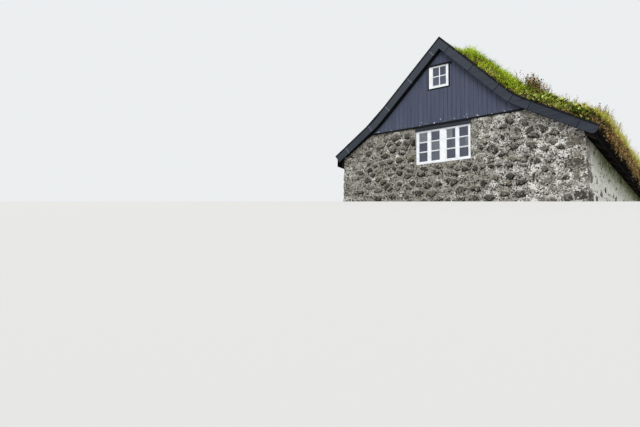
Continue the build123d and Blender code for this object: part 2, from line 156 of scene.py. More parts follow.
@dataclass(frozen=True)
class Finish:
    """A real material, from which one Blender material is made."""

    name: str

    def start(self) -> tuple[Adder, Node, NodeSocket]:
        """Make an empty material.

        Returns:
            What adds a node to its tree, its shader and the Object coordinates.
        """
        material = bpy.data.materials.new(self.name)
        material.use_nodes = True
        tree = material.node_tree
        add = partial(add_node, tree)
        return add, tree.nodes["Principled BSDF"], add("TexCoord").outputs["Object"]

    def complete(self, shader: Node, inputs: dict, height: Node | None = None,
                 depth: float = 0.0) -> Material:
        """Set the shader and give the surface its relief.

        Args:
            shader: The material's shader.
            inputs: Its values and links, as feed takes them.
            height: The relief's pattern, from 0 to 1.
            depth: Height of a step of 1 in the pattern, in metres.

        Returns:
            The material.
        """
        feed(shader, inputs)
        if height:
            bump = add_node(shader.id_data, "Bump", {"Height": height, "Distance": depth})
            feed(shader, {"Normal": bump})
        return bpy.data.materials[self.name]

    def build(self) -> Material:
        """Make the material."""
        raise NotImplementedError


# The gap mark holds painted shade under each stone and, below 0, a painted highlight on the mortar
# above it
STONE_MARKS = ("tone", "rim", "gap", "moss")


@dataclass(frozen=True)
class WallSkin(Finish):
    """Weathered wall face: grey lime mortar, lumps of old limewash, hollows in black painted shade,
    and algae.
    """

    shades: tuple[str, ...] = ("5e5a50", "908c82", "bcb8ad")
    # Mortar changes tone over about 50 mm, lumps of limewash are 30 mm, and hollows with painted
    # shade 45 mm
    batch: float = 0.05
    lime: str = "e6e4dd"
    lime_from: float = 0.1
    lime_to: float = 1.2
    lime_least: float = -0.03
    lime_most: float = 0.065
    lime_edge: Pair = (0.945, 0.98)
    lump: float = 0.030
    hollow: float = 0.045
    # Near-black painted shade in the mortar's hollows, and how much of the face it takes
    hollow_colour: str = "161412"
    hollow_share: float = 0.44
    algae: float = 0.0
    algae_colour: str = "6c7544"
    algae_heights: Pair = (1.0, 1.75)
    algae_along: Pair = (-5.5, -3.5)
    # Real grit is 2 to 5 mm and too fine to show, so it is drawn 18 mm wide, 55 to a metre
    grit_per_m: float = 55.0
    depth: float = 0.03

    def mortar(self, add: Adder, place: NodeSocket) -> Node:
        """Colour of the mortar, paler where its lime has run."""
        run = add("TexNoise", {"Vector": place, "Scale": 1 / self.batch, "Detail": 7.0,
                               "Roughness": 0.7})
        return add("ValToRGB", (run,), zip((0.36, 0.5, 0.66), self.shades))

    def weather(self, add: Adder, shader: Node, place: NodeSocket, body: Value,
                shelter: Value = 0.0, gap: Value = 0.0) -> Material:
        """Lay limewash, algae and black hollows of painted shade over a colour, add painted shade
        under the stones and a painted highlight above them, and give the face its relief.

        Args:
            add: What adds a node to the material's tree.
            shader: The material's shader.
            place: The Object coordinates.
            body: The colour under the weather.
            shelter: How little limewash holds here, from 0 to 1.
            gap: Painted shade under a stone from 0 to 1, and below 0, down to -1, a painted
                highlight on the mortar above it.

        Returns:
            The material.
        """
        at = add("SeparateXYZ", (place,))
        level = add("MapRange", (at, self.lime_from, self.lime_to, self.lime_least,
                                 self.lime_most))
        lumps = add("TexNoise", {"Vector": place, "Scale": 1 / self.lump, "Detail": 5.0,
                                 "Roughness": 0.62})
        sites = add("TexNoise", {"Vector": place, "Scale": 0.16 / self.lump, "Detail": 2.0})
        spread = add("Math", (sites, 0.7, lumps), operation="MULTIPLY_ADD")
        limewash_and_shade = add("Math", (spread, level), operation="ADD")
        limewash_and_shade = add("Math", (shelter, -0.14, limewash_and_shade), operation="MULTIPLY_ADD")
        lime = add("MapRange", (limewash_and_shade, *self.lime_edge, 0.0, 1.0))
        skin = add("Mix", {0: lime, 6: body, 7: linear(self.lime)}, data_type="RGBA")
        if self.algae:
            high = add("MapRange", (at.outputs[2], *self.algae_heights, 0.0, self.algae))
            far = add("MapRange", (at.outputs[1], *self.algae_along, 0.5, 2.4))
            green = add("Math", (high, far), operation="MULTIPLY")
            green = add("Math", (green, sites), operation="MULTIPLY", use_clamp=True)
            skin = add("Mix", {0: green, 6: skin, 7: linear(self.algae_colour)}, data_type="RGBA")
        # Painted highlight: the mortar just above each stone is made pale with the lime colour
        ridge = add("MapRange", (gap, -0.1, -0.8, 0.0, 0.55))
        skin = add("Mix", {0: ridge, 6: skin, 7: linear(self.lime)}, data_type="RGBA")
        # Painted shade: hollows in the mortar are coloured near black
        holes = add("TexNoise", {"Vector": place, "Scale": 1 / self.hollow, "Detail": 3.0,
                                 "Roughness": 0.55})
        deep = add("Math", (shelter, 0.05, holes), operation="MULTIPLY_ADD")
        # Painted shade under each stone, from its gap mark, joins the black of the hollows
        deep = add("Math", (gap, -0.42, deep), operation="MULTIPLY_ADD")
        black = add("MapRange", (deep, self.hollow_share - 0.05, self.hollow_share + 0.02,
                                 0.96, 0.0))
        skin = add("Mix", {0: black, 6: skin, 7: linear(self.hollow_colour)}, data_type="RGBA")
        grit = add("TexNoise", {"Vector": place, "Scale": self.grit_per_m, "Detail": 6.0,
                                "Roughness": 0.75})
        rough = add("Math", (grit, 0.4, lumps), operation="MULTIPLY_ADD")
        high = add("Math", (deep, 0.8, rough), operation="MULTIPLY_ADD")
        return self.complete(shader, {"Base Color": skin, "Roughness": 0.95,
                                      "Specular IOR Level": 0.2}, high, self.depth)


@dataclass(frozen=True)
class LimeMortar(WallSkin):
    """Old lime and earth mortar, thrown on by hand: pale lumps, deep hollows in painted shade, and
    grit.
    """

    def build(self) -> Material:
        """Make the material."""
        add, shader, place = self.start()
        return self.weather(add, shader, place, self.mortar(add, place))


@dataclass(frozen=True)
class BasaltRubble(WallSkin):
    """Basalt field stones, split by hand: dull, pitted, with lichen, moss and smears of mortar."""

    stones: tuple[str, ...] = ("3d3a35", "504c45", "625e55", "746f63", "877f70")
    # Mottling of 35 mm, patches of lichen of 90 mm and smears of mortar of 50 mm
    mottle: float = 0.035
    lichen: float = 0.09
    lichen_colour: str = "a5a294"
    moss_colour: str = "5f5f42"
    smear: float = 0.05

    def build(self) -> Material:
        """Make the material from the stones' own tone, rim, gap and moss numbers; gap brings
        painted shade below each stone and a painted highlight above it.
        """
        add, shader, place = self.start()
        tone, rim, gap, moss = (
            add("Attribute", attribute_name=name).outputs["Fac"] for name in STONE_MARKS)
        body = add("ValToRGB", (tone,), zip((0.0, 0.25, 0.5, 0.75, 1.0), self.stones))
        spots = add("TexNoise", {"Vector": place, "Scale": 1 / self.mottle, "Detail": 5.0,
                                 "Roughness": 0.65})
        shade = add("MapRange", (spots, 0.32, 0.68, 0.62, 1.4))
        stone = add("VectorMath", {0: body, "Scale": shade}, operation="SCALE")
        patches = add("TexNoise", {"Vector": place, "Scale": 1 / self.lichen, "Detail": 5.0,
                                   "Distortion": 0.6})
        pale = add("MapRange", (patches, 0.56, 0.66, 0.0, 0.6))
        stone = add("Mix", {0: pale, 6: stone, 7: linear(self.lichen_colour)}, data_type="RGBA")
        grown = add("Math", (moss, patches), operation="MULTIPLY")
        green = add("MapRange", (grown, 0.42, 0.56, 0.0, 0.5))
        stone = add("Mix", {0: green, 6: stone, 7: linear(self.moss_colour)}, data_type="RGBA")
        edge = add("TexNoise", {"Vector": place, "Scale": 1 / self.smear, "Detail": 6.0,
                                "Roughness": 0.68})
        near = add("Math", (rim, 0.34, edge), operation="MULTIPLY_ADD")
        covered = add("MapRange", (near, 0.66, 0.74, 0.0, 1.0))
        skin = add("Mix", {0: covered, 6: stone, 7: self.mortar(add, place)}, data_type="RGBA")
        bare = add("Math", (1.0, covered), operation="SUBTRACT")
        return self.weather(add, shader, place, skin, bare, gap)


@dataclass(frozen=True)
class PlankWood(Finish):
    """Sawn softwood: fine fibres along the plank, darker streaks and a soft grain relief."""

    grain: Grain = Grain.ALONG_Z
    dark: str = "6a5842"
    mid: str = "8f7a5c"
    pale: str = "ab9573"
    # Real fibres are under 1 mm and too fine to show, so they are drawn 6 mm wide
    fibre: float = 0.006
    wear: str = "b5b3ad"
    wear_from: float = 0.80
    foot: float = 0.0
    foot_wear: float = 0.0
    tone_share: float = 0.18
    streaks: float = 1.0
    roughness: float = 0.8
    specular: float = 0.2
    # Scuffs are about 67 mm wide, 15 to a metre
    scuffs_per_m: float = 15.0
    depth: float = 0.0015

    def build(self) -> Material:
        """Make the material with its fibres along the grain."""
        add, shader, place = self.start()
        squeeze = add("Mapping", {"Vector": place, "Scale": self.grain.value})
        fibres = add("TexNoise", {"Vector": squeeze, "Scale": 1 / self.fibre, "Detail": 5.0,
                                  "Roughness": 0.6})
        bands = add("TexNoise", {"Vector": squeeze, "Scale": 0.09 / self.fibre, "Detail": 4.0})
        tone = add("Attribute", attribute_name="tone").outputs["Fac"]
        mixed = add("Math", (fibres, 0.35, bands), operation="MULTIPLY_ADD")
        mixed = add("Math", (mixed, self.streaks, 0.675 * (1 - self.streaks)),
                    operation="MULTIPLY_ADD")
        toned = add("Math", (tone, self.tone_share, mixed), operation="MULTIPLY_ADD")
        body = add("ValToRGB", (toned,), zip((0.45, 0.68, 0.9), (self.dark, self.mid, self.pale)))
        scuffs = add("TexNoise", {"Vector": place, "Scale": self.scuffs_per_m, "Detail": 4.0,
                                  "Roughness": 0.6})
        at = add("SeparateXYZ", (place,))
        low = add("MapRange", (at.outputs[2], self.foot, self.foot + 0.35, self.foot_wear, 0.0))
        scuffed = add("Math", (scuffs, low), operation="ADD")
        worn = add("MapRange", (scuffed, self.wear_from, self.wear_from + 0.05, 0.0, 0.8))
        skin = add("Mix", {0: worn, 6: body, 7: linear(self.wear)}, data_type="RGBA")
        return self.complete(shader, {"Base Color": skin, "Roughness": self.roughness,
                                      "Specular IOR Level": self.specular}, fibres, self.depth)


@dataclass(frozen=True)
class GlossPaint(Finish):
    """White gloss paint on wood, brushed on: smooth, a little yellowed, chipped to grey wood."""

    coats: tuple[str, ...] = ("d9dbdc", "eef0f3", "f6f7f8")
    under: str = "8d867a"
    chip: float = 0.02
    # Stains are about 170 mm wide, 6 to a metre, and the chips above are 20 mm
    stains_per_m: float = 6.0
    depth: float = 0.0008

    def build(self) -> Material:
        """Make the material."""
        add, shader, place = self.start()
        stain = add("TexNoise", {"Vector": place, "Scale": self.stains_per_m, "Detail": 5.0,
                                 "Roughness": 0.6})
        coat = add("ValToRGB", (stain,), zip((0.3, 0.55, 0.8), self.coats))
        flakes = add("TexNoise", {"Vector": place, "Scale": 1 / self.chip, "Detail": 6.0,
                                  "Roughness": 0.7})
        bare = add("MapRange", (flakes, 0.66, 0.70, 0.0, 0.85))
        skin = add("Mix", {0: bare, 6: coat, 7: linear(self.under)}, data_type="RGBA")
        rough = add("MapRange", (flakes, 0.3, 0.7, 0.25, 0.55))
        return self.complete(shader, {"Base Color": skin, "Roughness": rough}, flakes, self.depth)


@dataclass(frozen=True)
class OldGlass(Finish):
    """Old window glass: slightly wavy, dusty inside, each pane with a grey of its own as a painted
    reflection.
    """

    pane_x: float = 0.36
    pane_z: float = 0.27
    # Greys of painted reflection, one picked for each pane
    tints: tuple[str, ...] = ("4f5364", "5f6673", "747a84", "8b8f96")
    # Dust lies in patches of 110 mm and the glass is wavy over 140 mm
    dust_per_m: float = 9.0
    waves_per_m: float = 7.0
    depth: float = 0.002

    def build(self) -> Material:
        """Make the material, with a painted reflection grey for each pane from a grid of pane
        sizes.
        """
        add, shader, place = self.start()
        snapped = add("VectorMath", (place, (self.pane_x, 1.0, self.pane_z)), operation="SNAP")
        dice = add("TexWhiteNoise", {"Vector": snapped})
        reflected_grey = add("ValToRGB", (dice,), zip((0.0, 0.3, 0.6, 1.0), self.tints))
        dust = add("TexNoise", {"Vector": place, "Scale": self.dust_per_m, "Detail": 5.0})
        haze = add("MapRange", (dust, 0.3, 0.7, 0.82, 1.15))
        skin = add("VectorMath", {0: reflected_grey, "Scale": haze}, operation="SCALE")
        waves = add("TexNoise", {"Vector": place, "Scale": self.waves_per_m, "Detail": 1.0})
        return self.complete(shader, {"Base Color": skin, "Roughness": 0.06, "IOR": 1.52,
                                      "Transmission Weight": 0.35}, waves, self.depth)


@dataclass(frozen=True)
class TurfSod(Finish):
    """Living sod on a roof: moss and short grass over brown earth, ochre roots at the cut edges,
    and painted shade under the eaves.
    """

    moss: tuple[str, ...] = ("15100b", "2e2316", "2c3218", "42531f", "64752e")
    root: tuple[str, ...] = ("1e150c", "664a22", "96803a", "cfc4a0")
    # Near-black painted shade for the nose's underside under the eaves
    peat: str = "100d0a"
    # Patches of moss of 450 mm, mats of roots of 60 mm and crumbs of 26 mm
    patches_per_m: float = 2.2
    mats_per_m: float = 16.0
    crumbs_per_m: float = 38.0
    depth: float = 0.04

    def build(self) -> Material:
        """Make the material: ochre roots at the cut verges, near-black painted shade under the
        eaves.
        """
        add, shader, place = self.start()
        shaded, cut = (add("Attribute", attribute_name=name).outputs["Fac"]
                       for name in ("shaded", "cut"))
        patches = add("TexNoise", {"Vector": place, "Scale": self.patches_per_m, "Detail": 8.0,
                                   "Roughness": 0.68})
        skin = add("ValToRGB", (patches,), zip((0.25, 0.40, 0.5, 0.62, 0.8), self.moss))
        mats = add("TexNoise", {"Vector": place, "Scale": self.mats_per_m, "Detail": 6.0,
                                "Roughness": 0.7})
        roots = add("ValToRGB", (mats,), zip((0.34, 0.46, 0.56, 0.64), self.root))
        skin = add("Mix", {0: cut, 6: skin, 7: roots}, data_type="RGBA")
        # Painted shade: where the shaded mark is high, the sod turns near black
        skin = add("Mix", {0: shaded, 6: skin, 7: linear(self.peat)}, data_type="RGBA")
        crumbs = add("TexNoise", {"Vector": place, "Scale": self.crumbs_per_m, "Detail": 8.0,
                                  "Roughness": 0.75})
        return self.complete(shader, {"Base Color": skin, "Roughness": 1.0,
                                      "Specular IOR Level": 0.1}, crumbs, self.depth)


@dataclass(frozen=True)
class Foliage(Finish):
    """Living leaves and blades: matt with a thin waxy gloss, dark at the root, pale at the tip."""

    shades: tuple[str, ...] = ("2c3a10", "6a8324", "98ad38", "c2c866")
    dry: str = "a5812f"
    dry_share: float = 0.2
    # Lighter and darker patches of 770 mm, and dry specks of 70 mm
    patches_per_m: float = 1.3
    specks_per_m: float = 14.0

    def build(self) -> Material:
        """Make the material from each plant's tone and each leaf's own number."""
        add, shader, place = self.start()
        tone, leaf = (add("Attribute", attribute_name=name).outputs["Fac"]
                      for name in ("tone", "leaf"))
        patches = add("TexNoise", {"Vector": place, "Scale": self.patches_per_m, "Detail": 3.0})
        mixed = add("Math", (tone, 0.5, patches), operation="MULTIPLY_ADD")
        mixed = add("Math", (leaf, 0.95, mixed), operation="MULTIPLY_ADD")
        mixed = add("Math", (mixed, 0.54), operation="SUBTRACT")
        body = add("ValToRGB", (mixed,), zip((0.34, 0.52, 0.68, 0.86), self.shades))
        speck = add("TexNoise", {"Vector": place, "Scale": self.specks_per_m, "Detail": 3.0})
        old = add("MapRange", (speck, 0.62 - self.dry_share * 0.5, 0.70 - self.dry_share * 0.5,
                               0.0, 0.85))
        skin = add("Mix", {0: old, 6: body, 7: linear(self.dry)}, data_type="RGBA")
        return self.complete(shader, {"Base Color": skin, "Roughness": 0.6,
                                      "Specular IOR Level": 0.3})


@dataclass(frozen=True)
class WroughtIron(Finish):
    """Wrought iron, hammered and oiled black, with a little rust in its hollows."""

    shades: tuple[str, ...] = ("1c1b1b", "2c2826", "5a3520")
    # Hammer dents are about 14 mm wide, 70 to a metre
    dents_per_m: float = 70.0
    depth: float = 0.002

    def build(self) -> Material:
        """Make the material."""
        add, shader, place = self.start()
        dents = add("TexNoise", {"Vector": place, "Scale": self.dents_per_m, "Detail": 6.0})
        skin = add("ValToRGB", (dents,), zip((0.40, 0.62, 0.72), self.shades))
        return self.complete(shader, {"Base Color": skin, "Metallic": 0.7, "Roughness": 0.55},
                             dents, self.depth)


@dataclass(frozen=True)
class StudioFloor(Finish):
    """Matt painted studio floor."""

    colour: str = "dedcd8"

    def build(self) -> Material:
        """Make the material."""
        _, shader, _ = self.start()
        return self.complete(shader, {"Base Color": linear(self.colour), "Roughness": 1.0,
                                      "Specular IOR Level": 0.0})


WHITEWASHED = ("b4b5ab", "d6d7cd", "e4e5dc")
STONE = BasaltRubble("basalt_rubble")
STONE_WASHED = BasaltRubble("limewashed_rubble", shades=WHITEWASHED, lime_most=0.05, algae=0.9,
                            hollow_share=0.33)
MORTAR = LimeMortar("lime_mortar")
MORTAR_WASHED = LimeMortar("limewashed_mortar", shades=WHITEWASHED, lime_most=0.05, algae=0.9,
                           hollow_share=0.30, depth=0.022)
SLAT_PAINT = PlankWood("tarred_gable_board", Grain.ALONG_Z, "40465a", "484e5f", "505667",
                       wear="dcdede", wear_from=0.77, foot=2.60, foot_wear=0.18, tone_share=0.10)
BACKING_TAR = PlankWood("tarred_backing_board", Grain.ALONG_Z, "14161b", "1b1e25", "22262f")
BARGE_TAR = PlankWood("tarred_bargeboard", Grain.ALONG_X, "15171b", "272b34", "3c4149",
                      wear="6d7077", wear_from=0.84, tone_share=0.45, streaks=0.3)
# Pale painted highlight at the joints of the left bargeboards
JOINT_HIGHLIGHT = PlankWood("worn_plank_edge", Grain.ALONG_X, "585c66", "6a6f78", "7c8088")
# Near-black strips: the bargeboards' cap, and pieces drawn black as painted shade: the batten under
# the bargeboards, the boards' foot and the strip over the window hood
STRIP_TAR_AND_SHADE = PlankWood("tarred_strip", Grain.ALONG_X, "08090b", "0d0e12", "14151a")
HOOD_TAR = PlankWood("tarred_drip_board", Grain.ALONG_X, "25292e", "2c3137", "363c42",
                     wear="7c8084", wear_from=0.80)
# Tarred trim of the loft window, drawn near black partly as painted shade round the window
TRIM_TAR_AND_SHADE = PlankWood("tarred_window_trim", Grain.ALONG_X, "08080a", "0c0c0f", "131417")
DOOR_TAR = PlankWood("tarred_door_plank", Grain.ALONG_Z, "1f2228", "2b2e36", "393d47",
                     wear="777a80", wear_from=0.78)
# Tarred eave boards, drawn near black and matt as painted shade under the eaves
EAVE_TAR_AND_SHADE = PlankWood("tarred_eave_board", Grain.ALONG_Y, "08080a", "0c0c0e", "121214",
                     roughness=1.0, specular=0.05)
WHITE = GlossPaint("white_gloss_paint")
GLASS = OldGlass("old_window_glass")
GLASS_LOFT = OldGlass("old_loft_glass", 0.19, 0.26, ("4a4f60", "50566a", "5a6072", "666c7c"))
PINE_X = PlankWood("sawn_pine_across", Grain.ALONG_X)
# Rafters, ridge beam, wall plates and roof boards drawn dark as painted shade under the eaves and
# verges
SHADE_DARK_PINE_X = PlankWood("smoke_dark_pine_across", Grain.ALONG_X, "1b1714", "2a2420", "3b332b")
SHADE_DARK_PINE_Y = PlankWood("smoke_dark_pine_along", Grain.ALONG_Y, "1b1714", "2a2420", "3b332b")
FLOOR_PINE = PlankWood("worn_floor_pine", Grain.ALONG_Y, "6d5a40", "8d7656", "a48c69",
                       wear="c2b08f", wear_from=0.72, roughness=0.55)
FLAG = BasaltRubble("rough_flagstone", lime_most=-0.3, lime_least=-0.3)
SOD = TurfSod("living_sod")
LAWN = Foliage("bright_roof_grass", ("4c660a", "8ebe0c", "b2de1e", "dcf052"), "cc8a38", 0.12)
GRASS = Foliage("roof_grass", ("2a3c0c", "6c901a", "a4c42c", "d0e04c"), "b08c3a", 0.14)
SEEDING = Foliage("seeding_roof_grass", ("1c240a", "687a16", "aab02c", "e2dc6c"), "9c7036", 0.14)
HERB = Foliage("roof_herb", ("1a280c", "4a6e1a", "98b634", "dce480"), "a0583a", 0.14)
RUSSET = Foliage("russet_sorrel", ("140c07", "6e4022", "b87640", "e8c08c"), "6c7826", 0.24)
STRAW = Foliage("dead_straw", ("5a4526", "99783f", "c2a468", "e0cc9a"), "5a4a24", 0.15)
IRON = WroughtIron("wrought_iron")
FLOOR = StudioFloor("studio_floor")

_made: dict[str, Material] = {}


def material_of(finish: Finish) -> Material:
    """Return the one material of a finish, made at its first use."""
    if finish.name not in _made:
        _made[finish.name] = finish.build()
    return _made[finish.name]


# Meshes


@dataclass
class Draft:
    """A mesh while it is drawn: points, faces and a few numbers kept for each point."""

    marks: tuple[str, ...] = ()
    points: list = field(default_factory=list)
    faces: list = field(default_factory=list)
    values: dict = field(default_factory=dict)

    def add(self, points: object, faces: object, **marks: float | list[float]) -> None:
        """Add a patch of points and faces.

        Args:
            points: Rows of X, Y and Z.
            faces: Point numbers of each face, counted from the patch's own first point.
            **marks: For each of the draft's marks one number, or a list with one for each point.
        """
        base = len(self.points)
        self.points.extend(tuple(map(float, point)) for point in points)
        self.faces.extend(tuple(base + int(corner) for corner in face) for face in faces)
        for name in self.marks:
            numbers = np.broadcast_to(marks.get(name, 0.0), len(points))
            self.values.setdefault(name, []).extend(map(float, numbers))

    def box(self, low: tuple, high: tuple, **marks: float) -> None:
        """Add a box between two corners, in any order."""
        xs, ys, zs = (sorted(pair) for pair in zip(low, high))
        points = [(x, y, z) for z in zs for y in ys for x in xs]
        self.add(points, BOX_FACES, **marks)

    def prism(self, ring: Outline, near: float, far: float, **marks: float) -> None:
        """Add an outline in X and Z, drawn out from one place on Y to another."""
        count = len(ring)
        points = [(x, y, z) for y in (near, far) for x, z in ring]
        caps = [range(count), range(2 * count - 1, count - 1, -1)]
        self.add(points, caps + belts(2, count), **marks)

    def mesh(self, name: str, smooth: bool = False) -> Object:
        """Turn the draft into an object.

        Args:
            name: Name of the object and its mesh.
            smooth: Whether its faces are shaded smooth.

        Returns:
            The object, linked to the scene.
        """
        mesh = bpy.data.meshes.new(name)
        mesh.from_pydata(self.points, [], self.faces)
        for mark, numbers in self.values.items():
            mesh.attributes.new(mark, "FLOAT", "POINT").data.foreach_set("value", numbers)
        mesh.polygons.foreach_set("use_smooth", [smooth] * len(mesh.polygons))
        mesh.update()
        piece = bpy.data.objects.new(name, mesh)
        bpy.context.scene.collection.objects.link(piece)
        return piece

    def solid(self, name: str, smooth: bool = False) -> Object:
        """Turn the draft into an object whose closed shells face outwards."""
        piece = self.mesh(name, smooth)
        draft = bmesh.new()
        draft.from_mesh(piece.data)
        bmesh.ops.recalc_face_normals(draft, faces=draft.faces)
        draft.to_mesh(piece.data)
        draft.free()
        return piece


BOX_FACES = ((0, 2, 3, 1), (4, 5, 7, 6), (0, 1, 5, 4), (2, 6, 7, 3), (0, 4, 6, 2), (1, 3, 7, 5))


def belts(rings: int, count: int, looped: bool = False) -> list[tuple[int, ...]]:
    """Faces between closed rings of points.

    Args:
        rings: How many rings there are.
        count: Points in each ring.
        looped: Whether the last ring is joined to the first.

    Returns:
        The point numbers of each face.
    """
    return [(near * count + k, near * count + (k + 1) % count,
             (near + 1) % rings * count + (k + 1) % count, (near + 1) % rings * count + k)
            for near in range(rings if looped else rings - 1) for k in range(count)]


def flatten(piece: Object) -> Object:
    """Turn the result of a piece's modifiers into its plain mesh."""
    result = bpy.data.meshes.new_from_object(
        piece.evaluated_get(bpy.context.evaluated_depsgraph_get()))
    piece.modifiers.clear()
    old, name = piece.data, piece.data.name
    piece.data = result
    bpy.data.meshes.remove(old)
    result.name = name
    return piece


# How far the edges of ironwork, sawn boards and planed boards are rounded
IRON_EDGE = 0.002
SAWN_EDGE = 0.003
PLANED_EDGE = 0.004


def ease_edges(piece: Object, width: float, segments: int = 1) -> Object:
    """Round a piece's sharp edges a little."""
    bevel = piece.modifiers.new("eased_edges", "BEVEL")
    bevel.width, bevel.segments, bevel.limit_method = width, segments, "ANGLE"
    bevel.angle_limit = math.radians(40)
    return flatten(piece)


def settle(piece: Object, finish: Finish, slot: str, *nodes: str) -> Object:
    """Dress a finished piece, fix it to the house and report it.

    Args:
        piece: The finished object.
        finish: Its real material.
        slot: The record's material slot that it belongs to; it is not used.
        *nodes: Nodes of the frame that it stands for.

    Returns:
        The same object.
    """
    piece.data.materials.clear()
    piece.data.materials.append(material_of(finish))
    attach(piece, ROOT)
    if nodes:
        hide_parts(*nodes)
    triangles = sum(len(face.vertices) - 2 for face in piece.data.polygons)
    log.info("%s: %d triangles, %s", piece.name, triangles, finish.name)
    return piece


# The roof's lines


@dataclass(frozen=True)
class RoofSide:
    """One side of the roof in section: a steep stretch, a bend and a flatter flare."""

    side: int
    tip: float
    bend_run: float
    upper: float
    lower: float
    bend_radius: float = 1.5

    def level(self, depth: float, run: float) -> float:
        """Height of the line that lies a depth below the bargeboard's top edge.

        Args:
            depth: Depth square to the slope.
            run: Distance from the ridge.

        Returns:
            The height above the ground.
        """
        steep, flat = math.radians(self.upper), math.radians(self.lower)
        fall, change = math.tan(steep), math.tan(steep) - math.tan(flat)
        top = RIDGE_Z - depth / math.cos(steep)
        bend_z = RIDGE_Z - self.bend_run * fall
        lower = bend_z - depth / math.cos(flat) - (run - self.bend_run) * math.tan(flat)
        bend = self.bend_run - depth * (1 / math.cos(steep) - 1 / math.cos(flat)) / change
        reach = self.bend_radius * math.tan((steep - flat) / 2) * math.cos((steep + flat) / 2)
        if abs(run - bend) >= reach:
            return max(top - run * fall, lower)
        gap = run - (bend - reach)
        return top - (bend - reach) * fall - gap * fall + gap ** 2 * change / (4 * reach)

    def slope(self, run: float) -> float:
        """Angle of the slope at a distance from the ridge."""
        step = 0.002
        return math.atan2(self.level(0, run - step) - self.level(0, run + step), 2 * step)

    def inset(self, depth: float, run: float) -> Pair:
        """Point square below the top line, as a distance from the ridge and a height."""
        angle = self.slope(run)
        return run - depth * math.sin(angle), self.level(0, run) - depth * math.cos(angle)

    def x(self, run: float) -> float:
        """The house's own X at a distance from the ridge."""
        return RIDGE_X + self.side * run

    def line(self, depth: float, runs: Iterable[float]) -> Outline:
        """The line at one depth, as X and Z at distances from the ridge."""
        return [(self.x(run), self.level(depth, run)) for run in runs]

    def placed(self, ring: Outline) -> Outline:
        """An outline of distances from the ridge and heights, as X and Z."""
        return [(self.x(run), z) for run, z in ring]


LEFT = RoofSide(-1, 3.28, 2.04, 44.7, 35.0)
RIGHT = RoofSide(1, 3.79, 1.95, 45.7, 30.0)


def roof_height(x: float, depth: float) -> float:
    """Height of a roof line over a place across the house."""
    roof = LEFT if x < RIDGE_X else RIGHT
    return roof.level(depth, abs(x - RIDGE_X))


class End(Enum):
    """The two gables, by the side that they face."""

    FRONT = -1
    BACK = 1

    @property
    def label(self) -> str:
        """The end's name in the names of nodes and pieces."""
        return self.name.lower()

    def y(self, out: float) -> float:
        """Place along the house at a distance outside the stone face of this gable."""
        return self.value * (GABLE_Y + out)


# Stone walls

# Rings of a field stone: its shares of reach and height, its rim mark, and how much of the painted
# shade and highlight of the gap mark it takes
STONE_RINGS = ((1.0, -0.012, 1.0, 1.0), (0.93, 0.6, 0.8, 0.9), (0.62, 0.95, 0.22, 0.3))
CHIP_FOOT = -0.008

# Corner stones: the cuts of each side, and the rim mark inside, on a face, an edge and a corner
CORNER_CUTS = (-1.0, -0.75, 0.0, 0.75, 1.0)
CORNER_RIMS = (0.0, 0.15, 0.85, 1.0)


@dataclass(frozen=True)
class Hole:
    """A rectangle of a wall's face that has no stones."""

    left: float
    right: float
    bottom: float
    top: float

    def edge(self, u: float, v: float) -> tuple[float, float, float]:
        """The side of the hole that lies farthest towards a stone.

        Args:
            u: Place of the stone along the wall.
            v: Its height.

        Returns:
            The direction to that side, across and up, and the distance to it.
        """
        sides = ((1, 0, self.left - u), (-1, 0, u - self.right),
                 (0, 1, self.bottom - v), (0, -1, v - self.top))
        return max(sides, key=lambda side: side[2])


